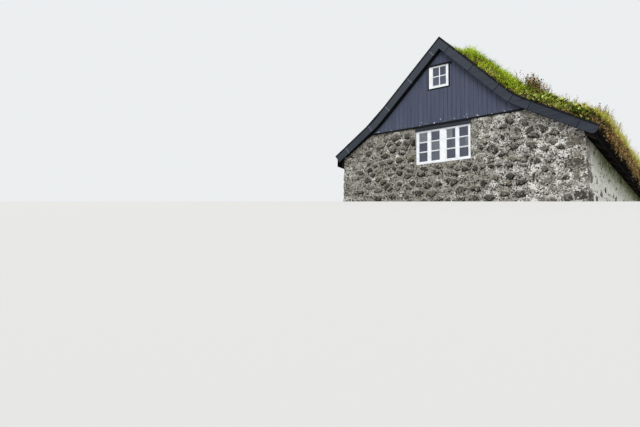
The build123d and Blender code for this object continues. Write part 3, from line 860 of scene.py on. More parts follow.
@dataclass
class RubbleWall:
    """Field stones of one wall face, bedded in wide mortar joints with small pinning stones."""

    name: str
    origin: Vector
    along: Vector
    outward: Vector
    length: float
    top: Callable[[float], float]
    seed: int
    covered: Callable[[float, float], float]
    moss: float = 0.12
    holes: list[Hole] = field(default_factory=list)
    first_course: float = 0.07
    course: float = 0.165
    course_spread: Pair = (0.6, 1.55)
    stone: float = 0.38
    split_chance: float = 0.25
    sway: float = 0.22
    lean: float = 0.16
    tone: Pair = (0.45, 0.24)
    joint: float = 0.022
    flatness: float = 0.92
    proud: float = 0.052
    points_round: int = 11
    widths: tuple[float, ...] = (0.4, 0.6, 0.8, 1.0, 1.3, 1.75)
    least_room: float = 0.045
    most_reach: float = 0.36
    side_gap: float = 0.012
    foot_gap: float = 0.004
    neighbours: int = 18
    roundness: int = 14
    chips: float = 95.0
    chip_sides: int = 5
    chip_sizes: Pair = (0.016, 0.045)
    chip_rises: Pair = (0.008, 0.026)

    def seats(self, rng: Random) -> np.ndarray:
        """Choose the middles of the stones, course by course."""
        seats = []
        v = self.first_course
        while v < self.top(self.length / 2):
            rise = self.course * rng.uniform(*self.course_spread)
            u = rng.uniform(0.03, 0.2)
            while u < self.length - 0.04:
                width = self.stone * rng.choice(self.widths)
                spots = [(u + width / 2, v + rng.uniform(-self.sway, self.sway) * rise)]
                if width > self.stone and rng.random() < self.split_chance:
                    spots.append((u + width * rng.uniform(0.1, 0.9), v + rise * 0.5))
                seats += [spot for spot in spots if self.room(*spot) > self.least_room]
                u += width
            v += rise
        return np.array(seats)

    def limits(self, u: float, v: float) -> list[tuple[float, float, float]]:
        """Directions and distances to the edges around a place on the wall."""
        step = 0.01
        rise = (self.top(u + step) - self.top(u - step)) / (2 * step)
        size = math.hypot(rise, 1)
        edges = [(-1, 0, u - self.side_gap), (1, 0, self.length - self.side_gap - u),
                 (0, -1, v - self.foot_gap),
                 (-rise / size, 1 / size, (self.top(u) - v) / size)]
        return edges + [hole.edge(u, v) for hole in self.holes]

    def room(self, u: float, v: float) -> float:
        """Distance from a place to the nearest edge, negative outside the wall."""
        return min(distance for _, _, distance in self.limits(u, v))

    def outlines(self, seats: np.ndarray) -> np.ndarray:
        """Reach of each stone in each direction round its middle.

        Args:
            seats: Middles of the stones.

        Returns:
            One row of distances for each stone.
        """
        turns = np.arange(self.points_round) * 2 * np.pi / self.points_round
        rays = np.stack([np.cos(turns), np.sin(turns)])
        reach = np.zeros((len(seats), self.points_round))
        for place, seat in enumerate(seats):
            apart = seats - seat
            gaps = np.hypot(*apart.T)
            near = np.argsort(gaps)[1:self.neighbours + 1]
            walls = [(*apart[n] / gaps[n], gaps[n] / 2 - self.joint / 2) for n in near]
            sides = np.array(walls + self.limits(*seat))
            facing = np.clip(sides[:, :2] @ rays, 0, None) / np.clip(sides[:, 2:], 0.02, None)
            reach[place] = ((facing ** self.roundness).sum(0)) ** (-1 / self.roundness)
        return np.minimum(reach, self.most_reach)

    def build(self) -> Object:
        """Make the stones and pinning stones as one mesh, each with its own height and tone."""
        rng = Random(self.seed)
        seats = self.seats(rng)
        reach = self.outlines(seats)
        draft = Draft(STONE_MARKS)
        for seat, row in zip(seats, reach):
            size = rng.uniform(0.78, 1.0)
            jag = [far * size * rng.uniform(0.84, 1.0) for far in row]
            self.lay(draft, rng, seat, jag)
        self.pin(draft, rng, seats, reach)
        return draft.solid(self.name)

    def lay(self, draft: Draft, rng: Random, seat: np.ndarray, jag: list[float]) -> None:
        """Lay one field stone.

        Args:
            draft: The mesh that gets it.
            rng: The source of its chance numbers.
            seat: Its middle on the wall's face.
            jag: Its reach in each direction.
        """
        count = self.points_round
        height = self.proud * rng.uniform(0.35, 1.0)
        lean = [rng.uniform(-self.lean, self.lean) for _ in range(2)]
        under = 1.0 if rng.random() < self.covered(*seat) else 0.0
        # Strength of the painted shade under this stone, less where mortar covers it, and of the
        # painted highlight above it
        limewash_and_shade, ridge = (1 - 0.75 * under) * rng.uniform(0.4, 1.15), rng.uniform(0.2, 1.0)
        points, rims, gaps = [], [], []
        for share, lift, rim, bed in STONE_RINGS:
            for k, far in enumerate(jag):
                turn = math.tau * k / count
                here = far * share * (1 if lift < 0 else rng.uniform(0.92, 1.04))
                du, dv = here * math.cos(turn), here * math.sin(turn) * self.flatness
                rise = lift if lift < 0 else lift * (
                    height * rng.uniform(0.7, 1.15) + lean[0] * du + lean[1] * dv)
                points.append(self.place(seat[0] + du, seat[1] + dv, min(rise, self.proud * 1.15)))
                rims.append(rim + under)
                # Painted shade on the stone's lower side, painted highlight on its upper side
                low = -math.sin(turn)
                gaps.append(bed * (limewash_and_shade * unit(0.25 + 1.3 * low)
                                   - ridge * unit(-0.2 - 1.4 * low)))
        points.append(self.place(*seat, height))
        fan = [(2 * count + k, 2 * count + (k + 1) % count, 3 * count) for k in range(count)]
        draft.add(points, belts(3, count) + fan, tone=unit(rng.gauss(*self.tone)),
                  rim=rims + [under], gap=gaps + [0.0], moss=float(rng.random() < self.moss))

    def pin(self, draft: Draft, rng: Random, seats: np.ndarray, reach: np.ndarray) -> None:
        """Press small pinning stones into the wide joints.

        Args:
            draft: The mesh that gets them.
            rng: The source of their chance numbers.
            seats: Middles of the field stones.
            reach: Their reach in each direction.
        """
        sides = self.chip_sides
        height = self.top(self.length / 2)
        for _ in range(int(self.length * height * self.chips)):
            spot = np.array((rng.uniform(0, self.length), rng.uniform(0, height)))
            apart = spot - seats
            near = np.hypot(*apart.T).argmin()
            turn = math.atan2(apart[near][1], apart[near][0]) / (math.tau)
            edge = reach[near, round(turn * self.points_round) % self.points_round]
            size = rng.uniform(*self.chip_sizes)
            if math.hypot(*apart[near]) < edge * 0.9 or self.room(*spot) < size:
                continue
            rise = rng.uniform(*self.chip_rises)
            points = []
            for share, out in ((1.0, CHIP_FOOT), (0.62, rise)):
                for k in range(sides):
                    angle = math.tau * k / sides + turn
                    far = size * share * rng.uniform(0.7, 1.0)
                    points.append(self.place(spot[0] + far * math.cos(angle),
                                             spot[1] + far * math.sin(angle), out))
            faces = belts(2, sides) + [range(sides, 2 * sides)]
            draft.add(points, faces, tone=rng.random(), rim=rng.choice((0.1, 0.3, 2.0)))

    def place(self, u: float, v: float, out: float) -> Vector:
        """Point of the house for a place on the wall's face."""
        return self.origin + self.along * u + Vector((0, 0, v)) + self.outward * out


@dataclass
class Corner:
    """Large dressed stones stacked at one corner of the house, long and short ways in turn."""

    name: str
    x: float
    y: float
    top: float
    seed: int
    hidden: float
    proud: float = 0.022
    bed: float = 0.010
    rough: float = 0.008
    heights: Pair = (0.17, 0.33)
    long_reach: Pair = (0.42, 0.78)
    short_reach: Pair = (0.20, 0.36)
    tone: Pair = (0.42, 0.2)
    moss: float = 0.1
    stones: list[tuple[float, float, float, float]] = field(default_factory=list)

    def __post_init__(self) -> None:
        """Choose the stones: foot, head, length on the gable and length on the side."""
        rng = Random(self.seed)
        z, long_way = 0.006, rng.random() < 0.5
        while z < self.top - 0.09:
            head = min(z + rng.uniform(*self.heights), self.top)
            if self.top - head < 0.1:
                head = self.top
            reach = (rng.uniform(*self.long_reach), rng.uniform(*self.short_reach))
            self.stones.append((z, head, *(reach if long_way else reach[::-1])))
            z, long_way = head, not long_way

    def build(self) -> Object:
        """Make the stones of the corner as one mesh."""
        rng = Random(self.seed + 7)
        draft = Draft(STONE_MARKS)
        side, end = math.copysign(1, self.x), math.copysign(1, self.y)
        grid, faces = cube_grid(CORNER_CUTS)
        for foot, head, gable, flank in self.stones:
            low = np.array((self.x - side * gable, self.y - end * flank, foot + self.bed))
            high = np.array((self.x + side * self.proud, self.y + end * self.proud,
                             head - self.bed))
            middle, half = (low + high) / 2, (high - low) / 2
            points, rims = [], []
            for spot in grid:
                sides = int((np.abs(spot) > 0.99).sum())
                edge = 1 - 0.02 * sides ** 1.3
                points.append(middle + half * spot * edge
                              + np.array([rng.uniform(-1, 1) for _ in range(3)]) * self.rough)
                rims.append(CORNER_RIMS[sides])
            hidden = 0.9 if rng.random() < self.hidden else rng.uniform(0.0, 0.3)
            draft.add(points, faces, tone=unit(rng.gauss(*self.tone)),
                      rim=[rim + hidden for rim in rims],
                      moss=float(rng.random() < self.moss))
        return draft.solid(self.name)

    def holes(self, on_gable: bool, length: float, at_start: bool) -> list[Hole]:
        """Rectangles that the corner takes from a neighbouring face.

        Args:
            on_gable: Whether that face is the gable's.
            length: Length of the face.
            at_start: Whether the corner is at the start of the face.

        Returns:
            One rectangle for each stone.
        """
        found = []
        for foot, head, gable, flank in self.stones:
            reach = (gable if on_gable else flank) + 0.008
            span = (-1.0, reach) if at_start else (length - reach, length + 1.0)
            found.append(Hole(*span, foot, head))
        return found


def cube_grid(cuts: tuple[float, ...]) -> tuple[list[np.ndarray], list[tuple[int, ...]]]:
    """A cube from -1 to 1 whose sides are cut at the given places.

    Args:
        cuts: Places of the cuts on each axis, ends included.

    Returns:
        The points on the surface and the faces between them.
    """
    numbers, points, faces = {}, [], []

    def number(key: tuple[int, int, int]) -> int:
        """Number of a point, added at its first use."""
        if key not in numbers:
            numbers[key] = len(points)
            points.append(np.array([cuts[place] for place in key]))
        return numbers[key]

    last = len(cuts) - 1
    for axis in range(3):
        for end in (0, last):
            for a in range(last):
                for b in range(last):
                    quad = []
                    for da, db in ((0, 0), (1, 0), (1, 1), (0, 1)):
                        key = [a + da, b + db]
                        key.insert(axis, end)
                        quad.append(number(tuple(key)))
                    faces.append(tuple(quad))
    return points, faces


@dataclass
class Masonry:
    """The four walls: corner stones, and field stones in the mortar that covers some of them."""

    right_x: float = 3.235
    left_x: float = -3.375
    stone_top: float = 2.596
    right_top: float = 1.735
    left_top: float = 1.83
    fill_depth: float = 0.18
    fill_span: Pair = (0.13, 0.31)
    fill_from: float = 2.1
    fill_out: Pair = (0.014, -0.002)
    covered_left: float = 0.08
    covered_right: float = 0.35
    right_from: float = 0.4
    most_covered: float = 0.85
    window: Hole = Hole(-1.055, 0.535, 1.515, 2.65)
    door: Hole = Hole(0.42, 1.38, 0.17, 2.0)

    def gable_cover(self, u: float, v: float) -> float:
        """Chance that mortar hides a gable's stone: high near the flares and under the boards."""
        x = self.left_x + u
        flare = unit((-1.6 - x) / 0.8) * unit((v - 0.9) / 0.5)
        under_boards = unit((v - 2.2) / 0.3)
        plain = self.covered_right if x > self.right_from else self.covered_left
        return min(plain + 0.25 * flare + 0.4 * under_boards, self.most_covered)

    @staticmethod
    def washed_cover(u: float, v: float) -> float:
        """Chance that limewash hides a stone of the right wall: nearly sure above knee height."""
        return 0.75 if v < 1.0 else 1.0

    def corners(self) -> dict[tuple[int, int], Corner]:
        """The four stacks of corner stones, by the signs of their X and Y."""
        found = {}
        for number, (side, end) in enumerate(((-1, -1), (1, -1), (1, 1), (-1, 1))):
            x = self.right_x if side > 0 else self.left_x
            top = self.right_top if side > 0 else self.left_top
            found[side, end] = Corner(f"corner_stones_{number}", x, end * GABLE_Y, top,
                                      40 + number, 0.3 if side > 0 else 0.6)
        return found

    def fill(self, end: End) -> None:
        """Close the gap between a gable's wall head and the roof boards with mortar."""
        draft = Draft(STONE_MARKS)
        for roof, outer in ((LEFT, self.left_x), (RIGHT, self.right_x)):
            runs = np.linspace(self.fill_from, abs(outer - RIDGE_X) - 0.004, 24)
            upper, lower = (roof.line(depth, runs) for depth in self.fill_span)
            draft.prism(upper + lower[::-1], *map(end.y, self.fill_out))
        settle(draft.solid(f"{end.label}_wall_head_mortar"), MORTAR, "stone")

    def build(self) -> None:
        """Make the stones of all walls."""
        corners = self.corners()
        for corner in corners.values():
            settle(corner.build(), STONE, "stone")
        width, length = self.right_x - self.left_x, 2 * GABLE_Y
        for end in End:
            holes = [Hole(self.window.left - self.left_x, self.window.right - self.left_x,
                          self.window.bottom, self.window.top)]
            for side in (-1, 1):
                holes += corners[side, end.value].holes(True, width, side < 0)
            self.fill(end)
            wall = RubbleWall(
                f"{end.label}_wall_stones", Vector((self.left_x, end.y(0), 0)),
                Vector((1, 0, 0)), Vector((0, end.value, 0)), width,
                lambda u: min(self.stone_top, roof_height(self.left_x + u, self.fill_depth)),
                11 + end.value, self.gable_cover, holes=holes)
            settle(wall.build(), STONE, "stone")
        flanks = (
            (1, "right", self.right_x, 22, lambda u: self.right_top, self.washed_cover,
             STONE_WASHED, [], {"moss": 0.0, "proud": 0.026, "chips": 45.0}),
            (-1, "left", self.left_x, 20, lambda u: self.left_top, lambda u, v: 0.15, STONE,
             [Hole(self.door.left + GABLE_Y, self.door.right + GABLE_Y, self.door.bottom,
                   self.door.top)], {"moss": 0.25, "chips": 60.0}))
        for side, label, x, seed, top, cover, finish, holes, others in flanks:
            taken = [hole for end in (-1, 1)
                     for hole in corners[side, end].holes(False, length, end < 0)]
            wall = RubbleWall(
                f"{label}_wall_stones", Vector((x, -GABLE_Y, 0)), Vector((0, 1, 0)),
                Vector((side, 0, 0)), length, top, seed, cover, holes=taken + holes, **others)
            settle(wall.build(), finish, "stone")


# Gable boards, verges and windows


def new_tree(name: str, sizes: dict[str, object]) -> tuple[GeometryNodeTree, Adder, Node, Node]:
    """Start a geometry tree with named inputs.

    Args:
        name: Name of the tree.
        sizes: Input names with a value: a number, a whole number, an object or a material.

    Returns:
        The tree, what adds a node to it, its input node and its output node.
    """
    tree = bpy.data.node_groups.new(name, "GeometryNodeTree")
    for way in ("OUTPUT", "INPUT"):
        tree.interface.new_socket("Geometry", in_out=way, socket_type="NodeSocketGeometry")
    kinds = {int: "NodeSocketInt", float: "NodeSocketFloat", Object: "NodeSocketObject",
             Material: "NodeSocketMaterial"}
    for label, value in sizes.items():
        kind = next(kinds[sort] for sort in kinds if isinstance(value, sort))
        tree.interface.new_socket(label, in_out="INPUT", socket_type=kind)
    add = partial(add_node, tree)
    return tree, add, add("NodeGroupInput"), add("NodeGroupOutput")


def make_real(add: Adder, instances: Node, seed: int) -> Node:
    """Give each instance a tone of its own and turn all of them into one mesh.

    Args:
        add: What adds a node to the tree.
        instances: The node that makes the instances.
        seed: Seed of the tones.

    Returns:
        The node that gives the mesh.
    """
    dice = add("FunctionNodeRandomValue", {"Seed": seed}, data_type="FLOAT")
    toned = add("GeometryNodeStoreNamedAttribute", {
        "Geometry": instances, "Name": "tone", "Value": dice}, data_type="FLOAT",
        domain="INSTANCE")
    return add("GeometryNodeRealizeInstances", (toned,))


def run_tree(piece: Object, tree: GeometryNodeTree, sizes: dict[str, object]) -> Object:
    """Run a geometry tree on a piece and keep its result as a plain mesh."""
    modifier = piece.modifiers.new(tree.name, "NODES")
    modifier.node_group = tree
    for item in tree.interface.items_tree:
        if item.in_out == "INPUT" and item.name in sizes:
            modifier[item.identifier] = sizes[item.name]
    return flatten(piece)


@dataclass
class GableBoarding:
    """Upright boards of one gable, side by side, cut along the roof and round the loft window."""

    end: End
    pitch: float = 0.1196
    gap: float = 0.006
    thickness: float = 0.012
    foot: float = 2.602
    cover: float = 0.13
    start_x: float = -2.55
    count: int = 40
    opening: tuple[float, float, float, float] = (-0.663, -0.027, 3.566, 4.258)
    # Span of the black strip over the window hood: the painted shadow that the boards' foot casts
    # on it
    lintel: Pair = (-1.047, 0.527)
    backing: float = 0.028
    seating: float = 0.002
    # Black strip along the boards' foot: a batten, drawn dark partly as painted shade under the
    # boards' edge
    strip_out: float = 0.056
    strip_heights: Pair = (-0.026, 0.008)
    # Reach and heights of the painted shadow strip over the window hood
    lintel_out: float = 0.052
    lintel_heights: Pair = (-0.058, -0.020)

    def cutter(self) -> Object:
        """Make the solid that is taken from the boards: all above the roof, and the window."""
        draft = Draft()
        ring = LEFT.line(self.cover, np.linspace(2.9, 0.0, 40))
        ring += RIGHT.line(self.cover, np.linspace(0.05, 2.9, 40))
        ring += [(ring[-1][0], RIDGE_Z + 1.0), (ring[0][0], RIDGE_Z + 1.0)]
        draft.prism(ring, self.end.y(-0.1), self.end.y(0.2))
        left, right, low, high = self.opening
        draft.box((left, self.end.y(-0.1), low), (right, self.end.y(0.2), high))
        return draft.solid("board_cutter")

    def tree(self, sizes: dict[str, object]) -> GeometryNodeTree:
        """Geometry tree that sets full boards side by side and takes the cutter from them."""
        tree, add, given, result = new_tree("board_row", sizes)
        value = given.outputs
        width = add("Math", (value["Pitch"], value["Gap"]), operation="SUBTRACT")
        size = add("CombineXYZ", (width, value["Thickness"], value["Height"]))
        board = add("GeometryNodeMeshCube", {"Size": size})
        middle = add("Math", (value["Height"], 0.5, value["Foot"]), operation="MULTIPLY_ADD")
        start = add("CombineXYZ", (value["Start"], value["Front"], middle))
        step = add("CombineXYZ", (value["Pitch"],))
        row = add("GeometryNodeMeshLine", {
            "Count": value["Count"], "Start Location": start, "Offset": step})
        boards = add("GeometryNodeInstanceOnPoints", {"Points": row, "Instance": board})
        real = make_real(add, boards, 5)
        taken = add("GeometryNodeObjectInfo", {"Object": value["Cutter"]})
        cut = add("GeometryNodeMeshBoolean", {
            "Mesh 1": real, "Mesh 2": taken.outputs["Geometry"]}, operation="DIFFERENCE")
        painted = add("GeometryNodeSetMaterial", {"Geometry": cut, "Material": value["Finish"]})
        feed(result, (painted,))
        return tree

    def build(self) -> None:
        """Make the boards of this gable over the frame's own boards."""
        cutter = self.cutter()
        sizes = {"Count": self.count, "Start": self.start_x, "Pitch": self.pitch, "Gap": self.gap,
                 "Thickness": self.thickness, "Foot": self.foot, "Height": RIDGE_Z - self.foot,
                 "Front": self.end.y(self.backing + self.thickness / 2 - self.seating),
                 "Cutter": cutter, "Finish": material_of(SLAT_PAINT)}
        span = [x for x in np.arange(-3.2, 3.2, 0.01) if roof_height(x, 0.2) > self.foot]
        # Black strips: one along the boards' foot, partly painted shade, and one over the window
        # hood as its painted shadow
        strip = Draft(("tone",))
        for (left, *_, right), out, heights in (
                (span, self.strip_out, self.strip_heights),
                (self.lintel, self.lintel_out, self.lintel_heights)):
            low, high = (self.foot + height for height in heights)
            strip.box((left, self.end.y(0.0), low), (right, self.end.y(out), high))
        foot_strip_and_shadow = strip.mesh(f"{self.end.label}_foot_strip")
        settle(ease_edges(foot_strip_and_shadow, SAWN_EDGE), STRIP_TAR_AND_SHADE, "boards")
        carrier = Draft().mesh(f"{self.end.label}_boarding")
        piece = run_tree(carrier, self.tree(sizes), sizes)
        bpy.data.objects.remove(cutter)
        settle(piece, SLAT_PAINT, "boards")


@dataclass
class Verge:
    """Bargeboards of one gable: planks butted end to end, their cap strip, and a black batten
    behind them that is painted shade.
    """

    end: End
    faces: tuple[Pair, Pair] = ((-0.012, 0.207), (-0.012, 0.222))
    cap: Pair = (-0.024, 0.018)
    # The shade batten is a black band on the gable that stands for the painted shade under the
    # bargeboard
    batten_feet: tuple[Pair, Pair] = ((0.224, 0.170), (0.214, 0.204))
    cap_out: Pair = (-0.04, 0.008)
    batten_top: float = 0.120
    batten_short: float = 0.16
    batten_out: Pair = (-0.004, 0.058)
    edge_back: float = 0.003
    taper: Pair = (1.8, 3.1)
    gap: float = 0.012
    tip_radius: float = 0.11
    left_tip: float = 3.305
    right_tip: float = 3.850
    left_joints: tuple[float, ...] = (0.315, 0.970, 1.662, 2.200, 2.965)
    right_joints: tuple[float, ...] = (0.300, 0.953, 1.606, 1.955, 2.375, 3.465)
    left_tones: tuple[float, ...] = (0.50, 0.72, 0.66, 0.45, 0.32, 0.30)
    right_tones: tuple[float, ...] = (0.45, 0.45, 0.36, 0.34, 0.28, 0.16, 0.20)

    def band(self, roof: RoofSide, start: float, stop: float, upper: float, lower: float | Pair,
             steps: int = 9) -> Outline:
        """Outline of a band that follows the roof.

        Args:
            roof: The side of the roof that it follows.
            start: Place of its upper end, from the ridge.
            stop: Place of its lower end.
            upper: Depth of its upper edge below the roof's top line.
            lower: Depth of its lower edge, or that depth above and below the taper.
            steps: Points along each edge.

        Returns:
            Distances from the ridge and heights, round the band.
        """
        edges = []
        runs = np.linspace(start, stop, steps)
        for depth in (upper, lower):
            depths = np.interp(runs, self.taper, np.broadcast_to(depth, 2))
            edge = [roof.inset(here, run) for here, run in zip(depths, runs)]
            if start == 0:
                edge = [(0.0, roof.level(depths[0], 0)),
                        *(spot for spot in edge if spot[0] > 0.01)]
            edges.append(edge)
        return edges[0] + edges[1][::-1]

    def rounded_tip(self, roof: RoofSide, ring: Outline) -> Outline:
        """Round the lower corner at the tip of the right bargeboard."""
        angle, radius = roof.slope(self.right_tip), self.tip_radius
        along = Vector((math.cos(angle), -math.sin(angle)))
        down = Vector((-math.sin(angle), -math.cos(angle)))
        corner = roof.inset(self.faces[1][1], self.right_tip)
        centre = Vector(corner) - (along + down) * radius
        arc = [tuple(centre + (down * math.cos(turn) + along * math.sin(turn)) * radius)
               for turn in np.radians((90, 68, 45, 22, 0))]
        place = ring.index(corner)
        rest = [spot for spot in ring[place + 1:] if spot[0] < (centre + down * radius).x - 0.005]
        return ring[:place] + arc + rest

    def build(self) -> None:
        """Make both bargeboards of this gable with their strips, and black battens as painted
        shade.
        """
        y, front = self.end.y, BARGE_Y - GABLE_Y
        near, far = y(VERGE_Y - GABLE_Y), y(front)
        sides = ((LEFT, "left", self.left_joints, self.left_tip, self.left_tones),
                 (RIGHT, "right", self.right_joints, self.right_tip, self.right_tones))
        for roof, label, joints, tip, tones in sides:
            planks, strips, edges = Draft(("tone",)), Draft(("tone",)), Draft(("tone",))
            face, feet = (pair[roof is RIGHT] for pair in (self.faces, self.batten_feet))
            stops = (0.0, *joints, tip)
            for start, stop, tone in zip(stops, stops[1:], tones):
                ring = self.band(roof, start + (self.gap / 2 if start else 0),
                                 stop - (self.gap / 2 if stop < tip else 0), *face)
                if stop == tip and roof is RIGHT:
                    ring = self.rounded_tip(roof, ring)
                planks.prism(roof.placed(ring), near, far, tone=tone)
                # On the left only, a pale strip at each joint: a painted highlight on the plank
                # ends
                if start and roof is LEFT:
                    ring = self.band(roof, start - self.gap / 2, start + self.gap, *face, 2)
                    edges.prism(roof.placed(ring), near, y(front - self.edge_back), tone=0.5)
            ring = self.band(roof, 0.0, tip, *self.cap, 60)
            strips.prism(roof.placed(ring), *(y(front + out) for out in self.cap_out), tone=0.4)
            # Black batten under the bargeboard, as painted shade
            ring = self.band(roof, 0.0, roof.tip - self.batten_short, self.batten_top, feet, 60)
            strips.prism(roof.placed(ring), *map(y, self.batten_out), tone=0.4)
            stem = f"{self.end.label}_verge"
            settle(ease_edges(planks.solid(f"{stem}_planks_{label}"), PLANED_EDGE), BARGE_TAR,
                   "bargeboards", f"{self.end.label}_bargeboard_{label}")
            settle(strips.solid(f"{stem}_strips_{label}"), STRIP_TAR_AND_SHADE, "bargeboards")
            if edges.faces:
                settle(edges.solid(f"{stem}_worn_edges_{label}"), JOINT_HIGHLIGHT, "bargeboards")


@dataclass
class WideWindow:
    """Glazing bars and putty of the four casements of one gable."""

    end: End
    middle: float = -0.260
    head: float = 2.460
    light_width: float = 0.310
    light_height: float = 0.868
    post: float = 0.132
    side_post: float = 0.044
    rail: float = 0.025
    bar: float = 0.019
    glass_out: float = -0.0245
    bar_depth: float = 0.020
    head_gap: float = 0.012
    hinge_half: Pair = (0.008, 0.035)
    hinge_out: Pair = (0.013, -0.004)
    hinge_from_end: float = 0.14

    def lights(self) -> list[float]:
        """Middles of the casements."""
        inner = self.post / 2 + self.light_width / 2
        outer = inner + self.light_width + self.side_post
        return [self.middle + run for run in (-outer, -inner, inner, outer)]

    def build(self) -> None:
        """Make the bars, the putty and the hinges."""
        bars, putty, iron = Draft(), Draft(), Draft()
        top = self.head - self.head_gap
        foot = top - self.light_height
        half = self.light_width / 2 - self.rail
        low, pane = foot + self.rail, (self.light_height - 2 * self.rail) / 3
        for x in self.lights():
            for step in (1, 2):
                z = low + pane * step
                bars.box((x - half, self.end.y(self.glass_out + self.bar_depth), z - self.bar / 2),
                         (x + half, self.end.y(self.glass_out - self.bar_depth), z + self.bar / 2))
            for step in range(3):
                self.bead(putty, x - half, x + half,
                          low + pane * step + (self.bar / 2 if step else 0),
                          low + pane * (step + 1) - (self.bar / 2 if step < 2 else 0))
            side = -1 if x < self.middle else 1
            hinge = x + side * (self.light_width / 2 - 0.004)
            wide, tall = self.hinge_half
            front, back = (self.end.y(out) for out in self.hinge_out)
            for z in (foot + self.hinge_from_end, top - self.hinge_from_end):
                iron.box((hinge - wide, front, z - tall), (hinge + wide, back, z + tall))
        label = self.end.label
        settle(ease_edges(bars.mesh(f"{label}_window_bars"), PLANED_EDGE, 2), WHITE, "white_wood")
        settle(putty.solid(f"{label}_window_putty"), WHITE, "white_wood")
        settle(ease_edges(iron.mesh(f"{label}_window_hinges"), IRON_EDGE), WHITE, "white_wood")

    def bead(self, draft: Draft, left: float, right: float, low: float, high: float,
             size: float = 0.009) -> None:
        """Add a slanted putty bead round one pane."""
        ring = ((left, low), (right, low), (right, high), (left, high))
        inner = ((left + size, low + size), (right - size, low + size),
                 (right - size, high - size), (left + size, high - size))
        out, back = self.end.y(self.glass_out + size), self.end.y(self.glass_out)
        points = [(x, out, z) for x, z in ring] + [(x, back, z) for x, z in inner]
        points += [(x, back, z) for x, z in ring]
        faces = []
        for k in range(4):
            n = (k + 1) % 4
            faces += [(k, n, 4 + n, 4 + k), (k, 8 + k, 8 + n, n), (8 + k, 4 + k, 4 + n, 8 + n)]
        draft.add(points, faces)


@dataclass
class LoftWindow:
    """Glazing bars of the small window under the ridge."""

    end: End
    left: float = -0.517
    width: float = 0.385
    low: float = 3.669
    height: float = 0.514
    bar: float = 0.025
    upright_out: Pair = (0.045, 0.010)
    crossbar_out: Pair = (0.043, 0.012)

    def build(self) -> None:
        """Make the crossed bars between its four panes."""
        bars = Draft()
        x, z = self.left + self.width / 2, self.low + self.height / 2
        front, back = map(self.end.y, self.upright_out)
        bars.box((x - self.bar / 2, front, self.low),
                 (x + self.bar / 2, back, self.low + self.height))
        front, back = map(self.end.y, self.crossbar_out)
        bars.box((self.left, front, z - self.bar / 2),
                 (self.left + self.width, back, z + self.bar / 2))
        piece = bars.mesh(f"{self.end.label}_loft_window_bars")
        settle(ease_edges(piece, PLANED_EDGE, 2), WHITE, "white_wood")


# Turf and plants


